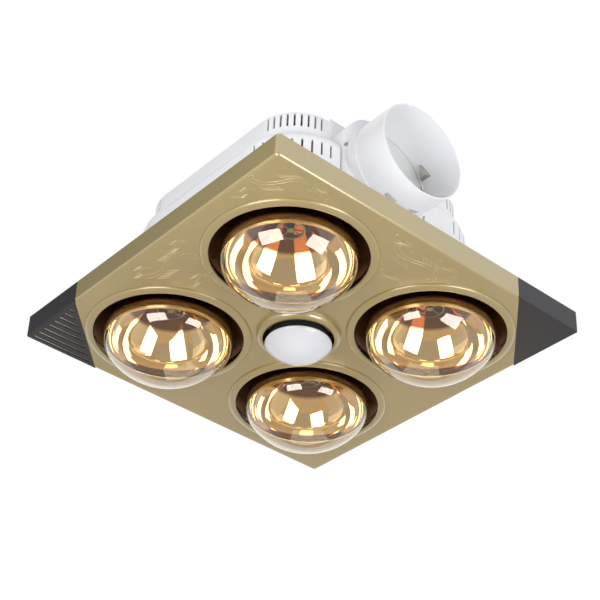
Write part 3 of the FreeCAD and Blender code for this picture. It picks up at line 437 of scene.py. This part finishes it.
def make_charcoal():
    """Charcoal ABS of the corner pieces: dull, with a fine moulded grain."""
    material = blank_material("charcoal_abs")
    place = add(material, "ShaderNodeTexCoord").outputs["Object"]
    speck = add(material, "ShaderNodeTexNoise", {"Vector": place, "Scale": repeat(0.9), "Detail": 3.0})
    colour = add(material, "ShaderNodeMix", {MIX_FACTOR: speck, MIX_FIRST: linear("#222126"),
                                             MIX_SECOND: linear("#2c2a30")}, data_type="RGBA")
    gloss = add(material, "ShaderNodeMapRange", {"Value": speck, "To Min": 0.38, "To Max": 0.55})
    relief = add(material, "ShaderNodeBump", {"Height": speck, "Distance": 0.03 * MM})
    shader = add(material, "ShaderNodeBsdfPrincipled", {"Base Color": colour, "IOR": 1.53, "Roughness": gloss,
                                                        "Normal": relief})
    add(material, "ShaderNodeOutputMaterial", {"Surface": shader})
    return material


def make_louvre_glint():
    """Pale, shiny charcoal ABS along the louvre edges: the pale colour is a painted highlight."""
    material = blank_material("glint_painted_abs")
    place = add(material, "ShaderNodeTexCoord").outputs["Object"]
    glint_tone = add(material, "ShaderNodeTexNoise", {"Vector": place, "Scale": repeat(6), "Detail": 2.0})
    # Pale greys: a painted highlight on each louvre's edge.
    colour = add(material, "ShaderNodeMix", {MIX_FACTOR: glint_tone, MIX_FIRST: linear("#8f8781"),
                                             MIX_SECOND: linear("#b7afa8")}, data_type="RGBA")
    shader = add(material, "ShaderNodeBsdfPrincipled", {"Base Color": colour, "IOR": 1.53, "Roughness": 0.3})
    add(material, "ShaderNodeOutputMaterial", {"Surface": shader})
    return material


def make_white_abs():
    """White ABS of the housing: even and slightly glossy, a little warmer in patches."""
    material = blank_material("white_abs")
    place = add(material, "ShaderNodeTexCoord").outputs["Object"]
    cloud = add(material, "ShaderNodeTexNoise", {"Vector": place, "Scale": repeat(35), "Detail": 2.0})
    speck = add(material, "ShaderNodeTexNoise", {"Vector": place, "Scale": repeat(1.5), "Detail": 3.0})
    colour = add(material, "ShaderNodeMix", {MIX_FACTOR: cloud, MIX_FIRST: linear("#ecedf1"),
                                             MIX_SECOND: linear("#f4f4f6")}, data_type="RGBA")
    gloss = add(material, "ShaderNodeMapRange", {"Value": speck, "To Min": 0.26, "To Max": 0.36})
    relief = add(material, "ShaderNodeBump", {"Height": speck, "Distance": 0.012 * MM})
    shader = add(material, "ShaderNodeBsdfPrincipled", {"Base Color": colour, "IOR": 1.53, "Roughness": gloss,
                                                        "Normal": relief})
    add(material, "ShaderNodeOutputMaterial", {"Surface": shader})
    return material


def make_grey_abs():
    """Pale grey ABS of the damper flap and the cable gland: satin, with a faint moulded grain."""
    material = blank_material("pale_grey_abs")
    place = add(material, "ShaderNodeTexCoord").outputs["Object"]
    speck = add(material, "ShaderNodeTexNoise", {"Vector": place, "Scale": repeat(1.5), "Detail": 3.0})
    colour = add(material, "ShaderNodeMix", {MIX_FACTOR: speck, MIX_FIRST: linear("#d9dad9"),
                                             MIX_SECOND: linear("#e4e5e4")}, data_type="RGBA")
    relief = add(material, "ShaderNodeBump", {"Height": speck, "Distance": 0.02 * MM})
    shader = add(material, "ShaderNodeBsdfPrincipled", {"Base Color": colour, "IOR": 1.53, "Roughness": 0.42,
                                                        "Normal": relief})
    add(material, "ShaderNodeOutputMaterial", {"Surface": shader})
    return material


def make_black_nylon():
    """Black glass-filled nylon of the light's cup and the cutout: matt, with pale fibre specks."""
    material = blank_material("black_nylon")
    place = add(material, "ShaderNodeTexCoord").outputs["Object"]
    fibre = add(material, "ShaderNodeTexNoise", {"Vector": place, "Scale": repeat(1.0), "Detail": 5.0})
    colour = add(material, "ShaderNodeMix", {MIX_FACTOR: fibre, MIX_FIRST: linear("#171717"),
                                             MIX_SECOND: linear("#2b2a29")}, data_type="RGBA")
    gloss = add(material, "ShaderNodeMapRange", {"Value": fibre, "To Min": 0.42, "To Max": 0.62})
    shader = add(material, "ShaderNodeBsdfPrincipled", {
        "Base Color": colour, "IOR": 1.53, "Roughness": gloss})
    add(material, "ShaderNodeOutputMaterial", {"Surface": shader})
    return material


def make_fan_plastic():
    """Dark polypropylene of the fan wheel: waxy, with flow marks from the mould."""
    material = blank_material("dark_polypropylene")
    place = add(material, "ShaderNodeTexCoord").outputs["Object"]
    flow = add(material, "ShaderNodeTexNoise", {"Vector": place, "Scale": repeat(12), "Detail": 2.0,
                                                "Distortion": 1.5})
    colour = add(material, "ShaderNodeMix", {MIX_FACTOR: flow, MIX_FIRST: linear("#58595b"),
                                             MIX_SECOND: linear("#6a6b6d")}, data_type="RGBA")
    gloss = add(material, "ShaderNodeMapRange", {"Value": flow, "To Min": 0.36, "To Max": 0.48})
    shader = add(material, "ShaderNodeBsdfPrincipled", {
        "Base Color": colour, "IOR": 1.49, "Roughness": gloss})
    add(material, "ShaderNodeOutputMaterial", {"Surface": shader})
    return material


def make_cream_plastic():
    """Cream urea plastic of the terminal strip: hard, with a fine speckle."""
    material = blank_material("cream_urea")
    place = add(material, "ShaderNodeTexCoord").outputs["Object"]
    speck = add(material, "ShaderNodeTexNoise", {"Vector": place, "Scale": repeat(0.8), "Detail": 4.0})
    colour = add(material, "ShaderNodeMix", {MIX_FACTOR: speck, MIX_FIRST: linear("#e2dcc8"),
                                             MIX_SECOND: linear("#ece7d8")}, data_type="RGBA")
    shader = add(material, "ShaderNodeBsdfPrincipled", {"Base Color": colour, "IOR": 1.55, "Roughness": 0.35})
    add(material, "ShaderNodeOutputMaterial", {"Surface": shader})
    return material


def make_capacitor_case():
    """Dark polyester case of the capacitor: smooth and half glossy, a little cloudy."""
    material = blank_material("capacitor_polyester")
    place = add(material, "ShaderNodeTexCoord").outputs["Object"]
    cloud = add(material, "ShaderNodeTexNoise", {"Vector": place, "Scale": repeat(8), "Detail": 3.0})
    colour = add(material, "ShaderNodeMix", {MIX_FACTOR: cloud, MIX_FIRST: linear("#5c5d60"),
                                             MIX_SECOND: linear("#68696c")}, data_type="RGBA")
    gloss = add(material, "ShaderNodeMapRange", {"Value": cloud, "To Min": 0.22, "To Max": 0.34})
    shader = add(material, "ShaderNodeBsdfPrincipled", {
        "Base Color": colour, "IOR": 1.57, "Roughness": gloss})
    add(material, "ShaderNodeOutputMaterial", {"Surface": shader})
    return material


def make_opal():
    """Opal acrylic of the centre light: milky, with light scattered inside it."""
    material = blank_material("opal_acrylic")
    place = add(material, "ShaderNodeTexCoord").outputs["Object"]
    cloud = add(material, "ShaderNodeTexNoise", {"Vector": place, "Scale": repeat(20), "Detail": 2.0})
    colour = add(material, "ShaderNodeMix", {MIX_FACTOR: cloud, MIX_FIRST: linear("#d2d3d9"),
                                             MIX_SECOND: linear("#dcdde2")}, data_type="RGBA")
    shader = add(material, "ShaderNodeBsdfPrincipled", {
        "Base Color": colour, "IOR": 1.49, "Roughness": 0.16, "Subsurface Weight": 0.3,
        "Subsurface Radius": (4 * MM, 4 * MM, 4 * MM)})
    add(material, "ShaderNodeOutputMaterial", {"Surface": shader})
    return material


def make_board():
    """White solder mask on the light's board: satin, with the faint weave of the glass cloth under it."""
    material = blank_material("white_solder_mask")
    place = add(material, "ShaderNodeTexCoord").outputs["Object"]
    weave = add(material, "ShaderNodeTexNoise", {"Vector": place, "Scale": repeat(1.0), "Detail": 2.0})
    colour = add(material, "ShaderNodeMix", {MIX_FACTOR: weave, MIX_FIRST: linear("#dddfda"),
                                             MIX_SECOND: linear("#eceee9")}, data_type="RGBA")
    relief = add(material, "ShaderNodeBump", {"Height": weave, "Distance": 0.02 * MM})
    shader = add(material, "ShaderNodeBsdfPrincipled", {"Base Color": colour, "IOR": 1.55, "Roughness": 0.4,
                                                        "Normal": relief})
    add(material, "ShaderNodeOutputMaterial", {"Surface": shader})
    return material


def make_steatite():
    """Unglazed steatite of the lamp holders: chalky off-white with small pits."""
    material = blank_material("steatite")
    place = add(material, "ShaderNodeTexCoord").outputs["Object"]
    pit = add(material, "ShaderNodeTexNoise", {"Vector": place, "Scale": repeat(1.4), "Detail": 5.0})
    colour = add(material, "ShaderNodeMix", {MIX_FACTOR: pit, MIX_FIRST: linear("#dcd7cb"),
                                             MIX_SECOND: linear("#efebe2")}, data_type="RGBA")
    relief = add(material, "ShaderNodeBump", {"Height": pit, "Distance": 0.06 * MM})
    shader = add(material, "ShaderNodeBsdfPrincipled", {"Base Color": colour, "IOR": 1.6, "Roughness": 0.7,
                                                        "Normal": relief})
    add(material, "ShaderNodeOutputMaterial", {"Surface": shader})
    return material


# Finishes of the bulbs

def make_lens_glass():
    """Clear hard glass of the bulbs, with a faint cream tint and a glossy coating."""
    material = blank_material("bulb_glass")
    place = add(material, "ShaderNodeTexCoord").outputs["Object"]
    wave = add(material, "ShaderNodeTexNoise", {"Vector": place, "Scale": repeat(25), "Detail": 2.0})
    colour = add(material, "ShaderNodeMix", {MIX_FACTOR: wave, MIX_FIRST: linear("#fdedcf"),
                                             MIX_SECOND: linear("#fff4d9")}, data_type="RGBA")
    shader = add(material, "ShaderNodeBsdfPrincipled", {
        "Base Color": colour, "Roughness": 0.01, "IOR": 1.6, "Transmission Weight": 1.0, "Coat Weight": 0.3,
        "Coat IOR": 1.8, "Coat Roughness": 0.01})
    add(material, "ShaderNodeOutputMaterial", {"Surface": shader})
    return material


def make_gilded_mirror():
    """Gilded mirror inside the bulbs: pale gold low in the bowl, dark brown higher up as a painted dark
    reflection.
    """
    material = blank_material("gilded_mirror")
    place = add(material, "ShaderNodeTexCoord").outputs["Object"]
    height = add(material, "ShaderNodeSeparateXYZ", {"Vector": place}).outputs["Z"]
    # Dark brown higher in the bowl: a painted dark reflection.
    rise = add(material, "ShaderNodeMapRange", {"Value": height, "From Min": 8.5 * MM, "From Max": 11.5 * MM})
    colour = add(material, "ShaderNodeMix", {MIX_FACTOR: rise, MIX_FIRST: linear("#f6ead6"),
                                             MIX_SECOND: linear("#643a24")}, data_type="RGBA")
    shader = add(material, "ShaderNodeBsdfPrincipled", {"Base Color": colour, "Metallic": 1.0,
                                                        "Roughness": 0.035})
    add(material, "ShaderNodeOutputMaterial", {"Surface": shader})
    return material


def make_back_lacquer():
    """Gold lacquer on the back of the mirror, seen through the glass: patchy, and dark above the rim as
    painted shade where the bowl goes deeper into the gap.
    """
    material = blank_material("gold_lacquer")
    place = add(material, "ShaderNodeTexCoord").outputs["Object"]
    patch = add(material, "ShaderNodeTexNoise", {"Vector": place, "Scale": repeat(18), "Detail": 3.0})
    lacquer_tone = add(material, "ShaderNodeMix", {MIX_FACTOR: patch, MIX_FIRST: linear("#efcb92"),
                                            MIX_SECOND: linear("#ffe6b8")}, data_type="RGBA")
    # Dark brown above the rim: painted shade, deeper in the gap round the bulb.
    height = add(material, "ShaderNodeSeparateXYZ", {"Vector": place}).outputs["Z"]
    rise = add(material, "ShaderNodeMapRange", {"Value": height, "From Min": -26 * MM, "From Max": -22 * MM})
    colour = add(material, "ShaderNodeMix", {MIX_FACTOR: rise, MIX_FIRST: lacquer_tone,
                                             MIX_SECOND: linear("#2a170d")}, data_type="RGBA")
    shader = add(material, "ShaderNodeBsdfPrincipled", {"Base Color": colour, "Metallic": 0.8,
                                                        "Roughness": 0.18})
    add(material, "ShaderNodeOutputMaterial", {"Surface": shader})
    return material


def make_neck_coat():
    """Dark heat stain on the inside of the bulbs' necks, in blotches."""
    material = blank_material("stained_neck")
    place = add(material, "ShaderNodeTexCoord").outputs["Object"]
    stain = add(material, "ShaderNodeTexNoise", {"Vector": place, "Scale": repeat(6), "Detail": 3.0})
    colour = add(material, "ShaderNodeMix", {MIX_FACTOR: stain, MIX_FIRST: linear("#241208"),
                                             MIX_SECOND: linear("#432413")}, data_type="RGBA")
    shader = add(material, "ShaderNodeBsdfPrincipled", {"Base Color": colour, "Metallic": 0.5,
                                                        "Roughness": 0.35})
    add(material, "ShaderNodeOutputMaterial", {"Surface": shader})
    return material


# Bulbs

def bowl_line(inset):
    """The bowl of a bulb's section, from the widest line up to the neck, as one Bezier curve."""
    start = Vector((LAMP_RADIUS - inset, LAMP_RIM))
    leave = Vector((LAMP_RADIUS - inset, BOWL_LEAVE))
    reach = Vector((BOWL_REACH[0] - inset, BOWL_REACH[1]))
    stop = Vector((NECK_RADIUS - inset, BOWL_TOP))
    points = []
    for index in range(BOWL_STEPS + 1):
        part = index / BOWL_STEPS
        rest = 1 - part
        spot = start * rest ** 3 + leave * 3 * rest ** 2 * part
        spot = spot + reach * 3 * rest * part ** 2 + stop * part ** 3
        points.append((spot.x, spot.y))
    return points


def face_line(inset):
    """The domed face of a bulb's section, from the pole up to the widest line."""
    knuckle_axis = LAMP_RADIUS - LAMP_KNUCKLE
    sag = LAMP_DOME - LAMP_KNUCKLE
    crown_height = (knuckle_axis ** 2 - sag ** 2) / (2 * sag)
    crown = crown_height + LAMP_DOME
    meeting = -math.atan2(crown_height, knuckle_axis)
    points = arc((0, LAMP_RIM + crown_height), crown - inset, -math.pi / 2, meeting, CROWN_STEPS)
    return points + arc((knuckle_axis, LAMP_RIM), LAMP_KNUCKLE - inset, meeting, 0, KNUCKLE_STEPS)[1:]


def coat_line(inset):
    """The line of a coat inside a bulb, from a little below the widest line up to the neck."""
    knuckle = (LAMP_RADIUS - LAMP_KNUCKLE, LAMP_RIM)
    reach = -COAT_REACH / LAMP_KNUCKLE
    return arc(knuckle, LAMP_KNUCKLE - inset, reach, 0, COAT_STEPS) + bowl_line(inset)[1:]


def make_bulbs():
    """Each bulb is a glass envelope with a lacquered mirror in its bowl and a stained coat in its neck."""
    back = GLASS_WALL + LACQUER_GAP
    near = GLASS_WALL + COAT_GAP
    far = near + COAT_WALL
    outside = face_line(0) + bowl_line(0)[1:] + [(NECK_END, NECK_TOP)]
    inside = face_line(GLASS_WALL) + bowl_line(GLASS_WALL)[1:] + [(NECK_END - GLASS_WALL, NECK_TOP)]
    back_line = coat_line(back) + coat_line(back + LACQUER_WALL)[::-1]
    mirror_line = coat_line(near) + coat_line(far)[::-1]
    neck_line = [(NECK_RADIUS - near, BOWL_TOP), (NECK_END - near, NECK_TOP), (NECK_END - far, NECK_TOP),
                 (NECK_RADIUS - far, BOWL_TOP)]
    envelope = turned_piece("bulb_envelope", outside + inside[::-1])
    lacquer = turned_piece("bulb_lacquer", back_line + back_line[:1])
    mirror = turned_piece("bulb_bowl", mirror_line + mirror_line[:1])
    coat = turned_piece("bulb_coat", neck_line + neck_line[:1])
    finishes = (
        (envelope, "bulb_glass_%d", make_lens_glass()),
        (lacquer, "bulb_back_%d", make_back_lacquer()),
        (mirror, "bulb_mirror_%d", make_gilded_mirror()),
        (coat, "bulb_neck_%d", make_neck_coat()),
    )
    for pattern, name, finish in finishes:
        for number, spot in enumerate(LAMP_SPOTS, 1):
            piece = settle(put_copy(pattern, name % number, (*spot, 0)), finish)
            if pattern is envelope:
                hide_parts("lamp_glass_%d" % number)
    for pattern in (envelope, lacquer, mirror, coat):
        bpy.data.objects.remove(pattern)


# Panel

def rounded_front(outer, inner, high, low):
    """The front of a pressed ring, as a quarter ellipse: steep at the panel, level at its crest."""
    turns = [math.pi / 2 * index / FRONT_STEPS for index in range(FRONT_STEPS + 1)]
    return [(inner + (outer - inner) * math.cos(turn), high + (low - high) * math.sin(turn))
            for turn in turns]


def make_lamp_bezels(gold):
    """The lamp openings' trim rings, with a rounded front and a collar through the panel."""
    low = PANEL_FACE - RING_DROP
    top = PANEL_FACE + PANEL_WALL + COLLAR_RISE
    bore = COLLAR_RADIUS - COLLAR_WALL
    crest = OPENING_RADIUS + LIP_ROUND
    line = rounded_front(RING_RADIUS, crest, PANEL_FACE - RING_STEP, low)
    line += arc((crest, low + LIP_ROUND), LIP_ROUND, -math.pi / 2, -math.pi, LIP_STEPS)[1:]
    line += [(OPENING_RADIUS, low + RING_LIP), (crest, low + RING_LIP), (bore, PANEL_FACE), (bore, top),
             (COLLAR_RADIUS, top), (COLLAR_RADIUS, PANEL_FACE), (RING_RADIUS, PANEL_FACE)]
    pattern = turned_piece("bezel", line + line[:1])
    for number, spot in enumerate(LAMP_SPOTS, 1):
        piece = settle(put_copy(pattern, "soft_bezel_%d" % number, (*spot, 0)), gold)
        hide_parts("lamp_bezel_%d" % number)
    bpy.data.objects.remove(pattern)


def make_light_bezel(gold):
    """The centre ring's soft skin, which lies over the panel's own sharp ring."""
    low = PANEL_FACE - LIGHT_DROP - BEZEL_SKIN
    hole = LIGHT_OPENING - BEZEL_SKIN
    crest = hole + LIP_ROUND
    line = [(LIGHT_RING + LIGHT_FOOT, PANEL_FACE + BEZEL_SKIN)]
    line += rounded_front(LIGHT_RING + BEZEL_SKIN, crest, PANEL_FACE - LIGHT_STEP, low)
    line += arc((crest, low + LIP_ROUND), LIP_ROUND, -math.pi / 2, -math.pi, LIP_STEPS)[1:]
    line += [(hole, low + LIGHT_LIP), (LIGHT_RING - LIGHT_BACK[0], PANEL_FACE + LIGHT_BACK[1])]
    settle(turned_piece("light_bezel", line + line[:1]), gold)


def make_light_dome(opal, black):
    """The centre light's opal dome, and the dark sleeve that shows in the gap round it."""
    ball_height = (DIFFUSER_RADIUS ** 2 - DIFFUSER_DOME ** 2) / (2 * DIFFUSER_DOME)
    ball = ball_height + DIFFUSER_DOME
    rim = -math.atan2(ball_height, DIFFUSER_RADIUS)
    centre = (0, DIFFUSER_RIM + ball_height)
    bead = (DIFFUSER_RADIUS - DIFFUSER_BEAD, DIFFUSER_RIM + DIFFUSER_BEAD / 2)
    line = arc(centre, ball, -math.pi / 2, rim, DOME_STEPS)
    line += arc(bead, DIFFUSER_BEAD, 0, math.pi / 2, BEAD_STEPS)
    line += arc(centre, ball - DIFFUSER_WALL, rim, -math.pi / 2, DOME_STEPS)
    dome = settle(turned_piece("opal_dome", line), opal)
    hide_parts("light_diffuser")

    low = DIFFUSER_RIM + SLEEVE_GAP
    high = PANEL_FACE - SLEEVE_GAP
    inside = SLEEVE_RADIUS - SLEEVE_WALL
    edge = SLEEVE_RADIUS - SLEEVE_EDGE
    sleeve = [(inside, low), (edge, low), (SLEEVE_RADIUS, low + SLEEVE_EDGE),
              (SLEEVE_RADIUS, high - SLEEVE_EDGE), (edge, high), (inside, high), (inside, low)]
    settle(turned_piece("light_sleeve", sleeve), black)


def draw_stroke(points, thickness):
    """A tapered engraved line through given points on the panel's face, as a mesh."""
    deselect()
    bpy.ops.curve.primitive_nurbs_path_add(location=(0, 0, 0))
    stroke = bpy.context.object
    swell = (0.35, 1.0, 1.0, 0.8, 0.2)
    for spot, point, width in zip(stroke.data.splines[0].points, points, swell):
        spot.co = (point[0], point[1], 0, 1)
        spot.radius = width
    stroke.data.bevel_depth = thickness / 2
    stroke.data.bevel_resolution = 1
    stroke.data.use_fill_caps = True
    stroke.data.resolution_u = 6
    bpy.ops.object.convert(target="MESH")
    return bpy.context.object


def draw_vine():
    """One sprig in millimetres: two running stems, a curl at each end and two rows of short leaf strokes."""
    stem = [(-30, -4), (-16, 9), (0, 0), (14, -10), (30, 3)]
    echo = [(-28, -8), (-14, 5), (2, -4), (15, -13), (27, -3)]
    curls = [[(30, 3), (35, 12), (27, 17), (22, 10), (28, 7)],
             [(-30, -4), (-36, -12), (-28, -17), (-23, -11), (-28, -8)]]
    lines = [stem, echo] + curls
    leaf = ((0, 0), (2, 3), (4, 5.5), (6.5, 7), (9, 7.5))
    above, below = 4, -5
    for index in range(LEAVES):
        along = LEAF_START + LEAF_PITCH * index
        lines.append([(along + x, above + y) for x, y in leaf])
        lines.append([(-along - x, below - y) for x, y in leaf])
    strokes = [draw_stroke([(x * MM, y * MM) for x, y in line], STROKE_WIDTH) for line in lines]
    return join_pieces(strokes, "vine")


def make_ornament():
    """Engraved sprigs on the panel's free parts, at its front corner and along the two sides beside it."""
    vine = draw_vine()
    upright = math.pi / 2
    spots = (((160, -160), math.pi / 4, 0.85), ((175, -128), upright, 0.35), ((128, -175), 0.0, 0.35),
             ((158, 0), upright, 1.0), ((172, 27), -upright, 0.45), ((172, -27), -upright, 0.45),
             ((126, 0), upright, 0.5), ((0, -158), 0.0, 1.0), ((27, -172), math.pi, 0.45),
             ((-27, -172), math.pi, 0.45), ((0, -126), math.pi, 0.5))
    sprigs = [put_copy(vine, "sprig", (x * MM, y * MM, PANEL_FACE), turn, (scale, scale, SPRIG_FLAT))
              for (x, y), turn, scale in spots]
    bpy.data.objects.remove(vine)
    ornament = join_pieces(sprigs, "engraved_sprigs")
    bpy.ops.object.shade_smooth()
    settle(ornament, make_bright_gold())


def make_louvre_lips():
    """The long edge of each louvre in the left corner piece, thinner towards the seam, painted pale as a
    highlight.
    """
    deselect()
    bpy.ops.mesh.primitive_cube_add(size=1, location=(0, 0.5, 0))
    lip = bpy.context.object
    bpy.ops.object.transform_apply(location=True)
    bpy.ops.object.mode_set(mode="EDIT")
    bpy.ops.mesh.select_all(action="DESELECT")
    bpy.ops.object.mode_set(mode="OBJECT")
    for vertex in lip.data.vertices:
        vertex.select = vertex.co.y > 0.5
    bpy.ops.object.mode_set(mode="EDIT")
    bpy.ops.transform.resize(value=(LOUVRE_LIP_TAPER, 1, LOUVRE_LIP_TAPER))
    bpy.ops.object.mode_set(mode="OBJECT")
    lips = []
    for index in range(LOUVRES):
        x = LOUVRE_INSET - HALF_PANEL + LOUVRE_ROOM * index / (LOUVRES - 1)
        start = LOUVRE_INSET - HALF_PANEL
        stop = CORNER_LEG - 2 * HALF_PANEL - x - LOUVRE_MARGIN
        lips.append(put_copy(lip, "lip", (x + LOUVRE_WIDTH, start, PANEL_FACE), 0.0,
                             (LOUVRE_LIP_WIDTH, stop - start, LOUVRE_LIP_HEIGHT)))
    bpy.data.objects.remove(lip)
    piece = join_pieces(lips, "louvre_lips")
    soften = piece.modifiers.new("soften", "BEVEL")
    soften.width = LOUVRE_LIP_ROUND
    soften.segments = 2
    bpy.ops.object.modifier_apply(modifier="soften")
    # The lips' pale finish is a painted highlight.
    settle(piece, make_louvre_glint())


# Duct

def make_hinge_lug(zinc):
    """The three-cornered lug on the duct's wall, in front of the flap's pin."""
    out = Vector((0, math.cos(LUG_ANGLE), math.sin(LUG_ANGLE)))
    rise = Vector((0, -math.sin(LUG_ANGLE), math.cos(LUG_ANGLE)))
    spot = Vector((LUG_PLACE, *DUCT_AXIS)) + out * (DUCT_BORE + LUG_SINK)
    turn = Matrix((Vector((1, 0, 0)), rise, out)).transposed().to_4x4()
    deselect()
    bpy.ops.mesh.primitive_circle_add(vertices=3, radius=LUG_RADIUS, fill_type="NGON", location=(0, 0, 0))
    lug = bpy.context.object
    lug.name = "hinge_lug"
    lug.matrix_world = Matrix.Translation(spot) @ turn @ Matrix.Diagonal(LUG_STRETCH)
    bpy.ops.object.transform_apply(location=True, rotation=True, scale=True)
    bpy.ops.object.mode_set(mode="EDIT")
    bpy.ops.mesh.select_all(action="SELECT")
    bpy.ops.mesh.extrude_region_move(TRANSFORM_OT_translate={"value": out * -LUG_HEIGHT})
    bpy.ops.transform.resize(value=(LUG_TAPER, LUG_TAPER, LUG_TAPER))
    bpy.ops.mesh.select_all(action="SELECT")
    bpy.ops.mesh.normals_make_consistent(inside=False)
    bpy.ops.object.mode_set(mode="OBJECT")
    soften = lug.modifiers.new("soften", "BEVEL")
    soften.width = LUG_ROUND
    soften.segments = 2
    bpy.ops.object.modifier_apply(modifier="soften")
    bpy.ops.object.shade_smooth_by_angle(angle=OWN_SMOOTH)
    settle(lug, zinc)


# Camera, light and room

def set_camera():
    forward = Vector((-math.sin(CAMERA_YAW) * math.cos(CAMERA_PITCH),
                      math.cos(CAMERA_YAW) * math.cos(CAMERA_PITCH), math.sin(CAMERA_PITCH)))
    level = Vector((math.cos(CAMERA_YAW), math.sin(CAMERA_YAW), 0))
    above = level.cross(forward)
    right = level * math.cos(CAMERA_ROLL) + above * math.sin(CAMERA_ROLL)
    up = above * math.cos(CAMERA_ROLL) - level * math.sin(CAMERA_ROLL)
    turn = Matrix((right, up, -forward)).transposed().to_4x4()
    camera = bpy.data.objects.new("camera", bpy.data.cameras.new("camera"))
    camera.data.lens = CAMERA_LENS
    camera.data.sensor_width = SENSOR_WIDTH
    camera.matrix_world = Matrix.Translation(CAMERA_PLACE) @ turn
    bpy.context.scene.collection.objects.link(camera)
    bpy.context.scene.camera = camera


def add_softbox(name, place, size, watts, shows=True):
    """A square soft light that faces the unit. It may be kept out of the reflections."""
    deselect()
    bpy.ops.object.light_add(type="AREA", location=place)
    light = bpy.context.object
    light.name = name
    light.data.shape = "SQUARE"
    light.data.size = size
    light.data.energy = watts
    light.rotation_euler = (-Vector(place)).to_track_quat("-Z", "Y").to_euler()
    light.visible_camera = False
    light.visible_glossy = shows


def add_card(name, place, size, colour):
    """A matt studio card that faces the unit and shows in its gloss and glass only."""
    deselect()
    bpy.ops.mesh.primitive_plane_add(size=size, location=place)
    card = bpy.context.object
    card.name = name
    card.rotation_euler = (-Vector(place)).to_track_quat("Z", "Y").to_euler()
    material = blank_material(name)
    shader = add(material, "ShaderNodeBsdfPrincipled", {"Base Color": linear(colour), "Roughness": 0.9})
    add(material, "ShaderNodeOutputMaterial", {"Surface": shader})
    wear(card, material)
    card.visible_camera = False
    card.visible_shadow = False
    card.visible_diffuse = False


def make_room():
    """White surroundings for the eye and for gloss, a dimmer sky for soft light, and a pale floor."""
    world = bpy.data.worlds.new("studio")
    world.use_nodes = True
    world.node_tree.nodes.clear()
    path = add(world, "ShaderNodeLightPath")
    seen = add(world, "ShaderNodeMath", {0: path.outputs["Is Camera Ray"], 1: path.outputs["Is Glossy Ray"]},
               operation="MAXIMUM")
    through = add(world, "ShaderNodeMath", {0: seen, 1: path.outputs["Is Transmission Ray"]},
                  operation="MAXIMUM")
    strength = add(world, "ShaderNodeMapRange", {"Value": through, "To Min": SKY_FOR_SOFT_LIGHT,
                                                  "To Max": SKY_SEEN})
    sky = add(world, "ShaderNodeBackground", {"Color": linear("#ffffff"), "Strength": strength})
    add(world, "ShaderNodeOutputWorld", {"Surface": sky})
    bpy.context.scene.world = world
    bpy.context.scene.view_settings.view_transform = "Standard"

    deselect()
    bpy.ops.mesh.primitive_plane_add(size=FLOOR_SIZE, location=(0, 0, FLOOR_HEIGHT))
    floor = bpy.context.object
    floor.name = "floor"
    material = blank_material("pale_floor")
    shader = add(material, "ShaderNodeBsdfPrincipled", {"Base Color": linear("#ebebeb"), "Roughness": 0.8})
    add(material, "ShaderNodeOutputMaterial", {"Surface": shader})
    wear(floor, material)


# The whole unit

def dress(finishes):
    """Puts a smooth, finished copy in the place of each CAD piece that isn't modelled here."""
    record = frame["record"]
    body_of = {name: body for body, members in record["behaviour"]["bodies"].items() for name in members}
    for part in record["subparts"]:
        name = part["node"]
        slot = part["material_slot"]
        if not name.startswith(("lamp_glass", "lamp_bezel", "light_diffuser")):
            smooth_copy(name, finishes[slot], body_of[name])


finishes = {
    "gold_enamel": make_gold_enamel(), "charcoal_plastic": make_charcoal(), "opal_plastic": make_opal(),
    "black_plastic": make_black_nylon(), "circuit_board": make_board(), "white_plastic": make_white_abs(),
    "zinc_steel": make_zinc_plate(), "fan_plastic": make_fan_plastic(), "motor_paint": make_hammer_paint(),
    "grey_plastic": make_grey_abs(), "block_plastic": make_cream_plastic(),
    "capacitor_case": make_capacitor_case(), "spring_steel": make_spring_steel(), "brass": make_brass(),
    "tungsten": make_tungsten(), "holder_ceramic": make_steatite(), "dark_steel": make_shield_shade_steel(),
}
set_camera()
make_room()
add_softbox("softbox_left", (0.240, -0.596, -0.325), size=0.36, watts=2.4)
add_softbox("softbox_right", (0.674, 0.029, -0.416), size=0.36, watts=2.4)
add_softbox("fill_light", (-0.45, 0.45, -0.60), size=0.5, watts=1.7, shows=False)
add_card("grey_card", (1.25, -1.05, -1.14), size=4.0, colour="#d6d6d6")
add_card("white_card", (0.72, 0.69, -0.79), size=0.9, colour="#ffffff")
add_card("warm_card", (0, 0, -1.2), size=4.0, colour="#f6e2ca")
add_card("dark_card", (-0.94, -0.78, 0.87), size=1.3, colour="#7c7a76")
dress(finishes)
make_bulbs()
make_lamp_bezels(finishes["gold_enamel"])
make_light_bezel(finishes["gold_enamel"])
make_light_dome(finishes["opal_plastic"], finishes["black_plastic"])
make_ornament()
make_louvre_lips()
make_hinge_lug(finishes["zinc_steel"])
